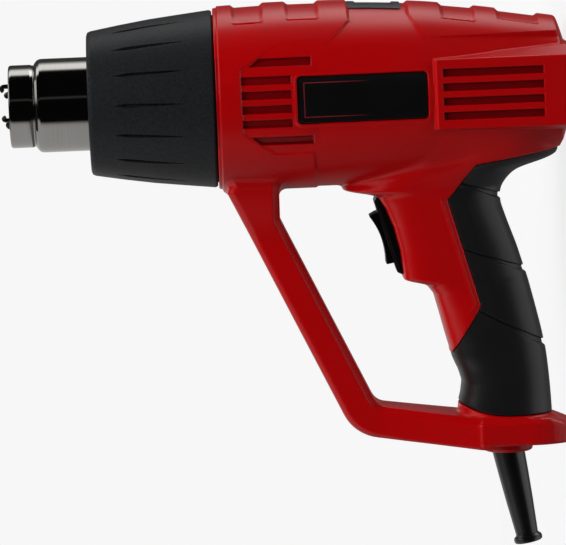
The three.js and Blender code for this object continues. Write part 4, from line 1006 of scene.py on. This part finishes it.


# Painted shade in the air slots, on the red of both shells
paint_vent_shade(red)
dress(red, *shells)
dress(collar_black, collar)
dress(rubber, *soft_grips)
dress(sleeve_black, relief)
dress(chrome, tube)
dress(switch_black, bezel, paddle)
dress(plate_grey, plate)
dress(gloss_label(), *labels)
dress(rod_dark, *rods)
dress(wire, coil)
KEPT_NODES = {
    screw_steel: ["motor_shaft", "motor_can", "clamp_screw_1", "clamp_screw_2",
                  *[f"screw_{name}" for name in SCREWS]],
    mica_sheet: ["mica_sleeve", "heater_core"],
    guide_dark: ["air_guide"],
    fan_black: ["fan_impeller", "thermal_cutout", "motor_end_cap"],
    brass: ["switch_contact", "switch_terminal_1", "switch_terminal_2", "switch_terminal_3"],
    board: ["rectifier_board"],
    cream: ["cable_clamp", "terminal_block"],
}
for material, names in KEPT_NODES.items():
    dress(material, *[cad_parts[name] for name in names])

# Camera: a long lens at the tool's left, a little above, slightly rolled
VIEW_AT, VIEW_FAR = (112.5, 0, -75), 2000
YAW, RISE, ROLL = math.radians(1.0), math.radians(5.6), math.radians(2.3)
level_right = Vector((math.cos(YAW), -math.sin(YAW), 0))
level_up = Vector((math.sin(YAW) * math.sin(RISE), math.cos(YAW) * math.sin(RISE), math.cos(RISE)))
ahead = Vector((math.sin(YAW) * math.cos(RISE), math.cos(YAW) * math.cos(RISE), -math.sin(RISE)))
right = level_right * math.cos(ROLL) - level_up * math.sin(ROLL)
up = level_right * math.sin(ROLL) + level_up * math.cos(ROLL)
camera = bpy.data.objects.new("camera", bpy.data.cameras.new("camera"))
scene.collection.objects.link(camera)
camera.data.sensor_width = 36
camera.data.lens = 299.8
camera.data.clip_end = 30
turn = Matrix((stood_way(right), stood_way(up), stood_way(-ahead))).transposed().to_4x4()
camera.matrix_world = Matrix.Translation(Vector(stood([Vector(VIEW_AT) - ahead * VIEW_FAR])[0])) @ turn
scene.camera = camera

# Studio
scene.view_settings.view_transform = "Standard"
WHITE = linear(247, 247, 247)


def facing(place, target, roll_to):
    """A matrix at a place of the held tool whose -Z looks at a target and whose X runs along roll_to."""
    here, there = Vector(stood([place])[0]), Vector(stood([target])[0])
    back = (here - there).normalized()
    along = stood_way(roll_to)
    along = (along - back * along.dot(back)).normalized()
    return Matrix.Translation(here) @ Matrix((along, back.cross(along), back)).transposed().to_4x4()


def lamp(name, place, target, size, power):
    """A plain area lamp; what shows in glossy surfaces is the cove below."""
    data = bpy.data.lights.new(name, "AREA")
    data.shape = "RECTANGLE"
    data.size, data.size_y = size
    data.energy = power
    item = bpy.data.objects.new(name, data)
    scene.collection.objects.link(item)
    item.matrix_world = facing(place, target, (1, 0, 0))
    item.visible_camera = item.visible_glossy = False


lamp("softbox", (112, 340, 840), (112, 0, 0), (1.5, 0.74), 3.6)
lamp("key_left", (-1150, -760, 560), (112, 0, -40), (1.4, 1.2), 26)
lamp("key_right", (1370, -760, 560), (112, 0, -40), (1.4, 1.2), 12.5)
lamp("low_left", (-800, -560, -860), (112, 0, -60), (1.4, 1.0), 7.0)
lamp("low_right", (1020, -560, -860), (112, 0, -60), (1.4, 1.0), 2.5)
lamp("rear_fill", (112, 1300, 400), (112, 0, -60), (1.6, 1.2), 12)


def glowing(name, share, stops, level):
    """An emission whose brightness runs along a ramp; share makes the ramp's 0 to 1 from a place."""
    material = bpy.data.materials.new(name)
    material.use_nodes = True
    tree = material.node_tree
    tree.nodes.remove(tree.nodes["Principled BSDF"])
    ramp = add(tree, "ShaderNodeValToRGB", Fac=share(tree, row_axes(tree)))
    while len(ramp.color_ramp.elements) < len(stops):
        ramp.color_ramp.elements.new(0.5)
    for stop, (at, bright) in zip(ramp.color_ramp.elements, stops):
        stop.position = at
        stop.color = (bright, bright, bright, 1)
    glow = add(tree, "ShaderNodeEmission", Color=ramp.outputs["Color"], Strength=level)
    tree.links.new(glow.outputs[0], tree.nodes["Material Output"].inputs["Surface"])
    return material


def round_angle(tree, row):
    """The angle about the barrel's axis, up from the camera's side, as 0 to 1."""
    up = math_of(tree, "SUBTRACT", row["X"], AXIS * MM)
    front = math_of(tree, "MULTIPLY", row["Y"], -1)
    return ranged(tree, math_of(tree, "ARCTAN2", up, front), From_Min=-math.pi, From_Max=math.pi)


def over_span(axis, reach):
    """A function that takes a place along a row axis, from -reach to reach, to 0 to 1."""
    def share(tree, row):
        return ranged(tree, row[axis], From_Min=-reach * MM, From_Max=reach * MM)
    return share


# Reflections: a long round cove about the barrel and its two ends, seen only in glossy surfaces
COVE_R, COVE_HALF, COVE_SIDES = 1500, 2200, 96
COVE_LEVEL = 2.1


def cove_ring(along, radius):
    """A ring of points about the barrel's axis."""
    angles = even(COVE_SIDES)
    return on_axis(np.full(COVE_SIDES, float(along)), radius * np.cos(angles), radius * np.sin(angles))


def reflected(name, rings, material):
    """A wall of the cove between two rings."""
    wall = mesh_piece(name, np.vstack(rings), ring_faces(2, COVE_SIDES, False))
    wall.visible_camera = wall.visible_diffuse = wall.visible_shadow = wall.visible_transmission = False
    wall.data.materials.append(material)


def cove_wall(name, front, rear, table, box, back):
    """One length of the round wall: degrees up from the camera's side, and how bright it is there.
    A softbox hangs over the back, the front is dark but for one thin gap, and the table is grey."""
    stops = [(-180, table), (-150, table), (-55, table), (-46, table * 0.9), (-37, 0.002), (18, 0.002),
             (19.5, 0.03), (23, 0.03), (24.5, 0.002), (94 + back, 0.002), (98 + back, 0.1 * box),
             (103 + back, 0.9 * box), (108 + back, box), (119 + back, box), (125 + back, 0.65 * box),
             (131 + back, 0.25 * box), (137 + back, 0.05 * box), (150, 0.03), (174, 0.03), (180, table)]
    light = glowing(name, round_angle, [((at + 180) / 360, level) for at, level in stops], COVE_LEVEL)
    reflected(name, [cove_ring(front, COVE_R), cove_ring(rear, COVE_R)], light)


LEFT_END, RIGHT_END, TABLE_STEP = 112 - COVE_HALF, 112 + COVE_HALF, 20
cove_wall("cove_outlet", LEFT_END, TABLE_STEP, 0.31, 0.87, 0)
cove_wall("cove_body", TABLE_STEP, RIGHT_END, 0.08, 1.35, 2)
reflected("cove_left", [cove_ring(LEFT_END, 1), cove_ring(LEFT_END, COVE_R)],
          glowing("cove_left", over_span("X", COVE_R),
                  [(0, 0.4), (0.08, 0.4), (0.14, 0.01), (0.55, 0.01), (0.65, 0.5), (1, 0.5)], COVE_LEVEL))
reflected("cove_right", [cove_ring(RIGHT_END, 1), cove_ring(RIGHT_END, COVE_R)],
          glowing("cove_right", over_span("Y", COVE_R),
                  [(0, 0.5), (0.08, 0.5), (0.16, 0.38), (0.75, 0.38), (0.85, 0.1), (1, 0.06)], COVE_LEVEL))

SKY_LEVEL = 0.012
world = bpy.data.worlds.new("studio")
scene.world = world
world.use_nodes = True
tree = world.node_tree
sky = tree.nodes["Background"].inputs
sky["Color"].default_value = (1, 1, 1, 1)
rays = tree.nodes.new("ShaderNodeLightPath").outputs
seen = math_of(tree, "MAXIMUM", rays["Is Camera Ray"], rays["Is Glossy Ray"])
seen = math_of(tree, "MAXIMUM", seen, rays["Is Transmission Ray"])
feed(tree, sky["Strength"], ranged(tree, seen, To_Min=SKY_LEVEL, To_Max=WHITE[0]))

# Floor: a pale round sheet that keeps the shadow
FLOOR_R, FLOOR_SIDES, FLOOR_DROP = 0.6, 96, 0.0002
FLOOR_TONE, FLOOR_GLOW = 0.16, 0.765
edge = [(FLOOR_R * math.cos(a), FLOOR_R * math.sin(a), -FLOOR_DROP) for a in even(FLOOR_SIDES)]
floor_mesh = bpy.data.meshes.new("floor")
floor_mesh.from_pydata(edge, [], [list(range(FLOOR_SIDES))])
floor = bpy.data.objects.new("floor", floor_mesh)
scene.collection.objects.link(floor)
floor.visible_glossy = floor.visible_shadow = False
floor_paper = bpy.data.materials.new("floor_paper")
floor_paper.use_nodes = True
tree = floor_paper.node_tree
paper = tree.nodes["Principled BSDF"].inputs
paper["Roughness"].default_value = 0.9
paper["Base Color"].default_value = (FLOOR_TONE, FLOOR_TONE, FLOOR_TONE, 1)
paper["Emission Color"].default_value = (1, 1, 1, 1)
rays = tree.nodes.new("ShaderNodeLightPath").outputs
feed(tree, paper["Emission Strength"], ranged(tree, rays["Is Camera Ray"], To_Min=0.0, To_Max=FLOOR_GLOW))
floor_mesh.materials.append(floor_paper)
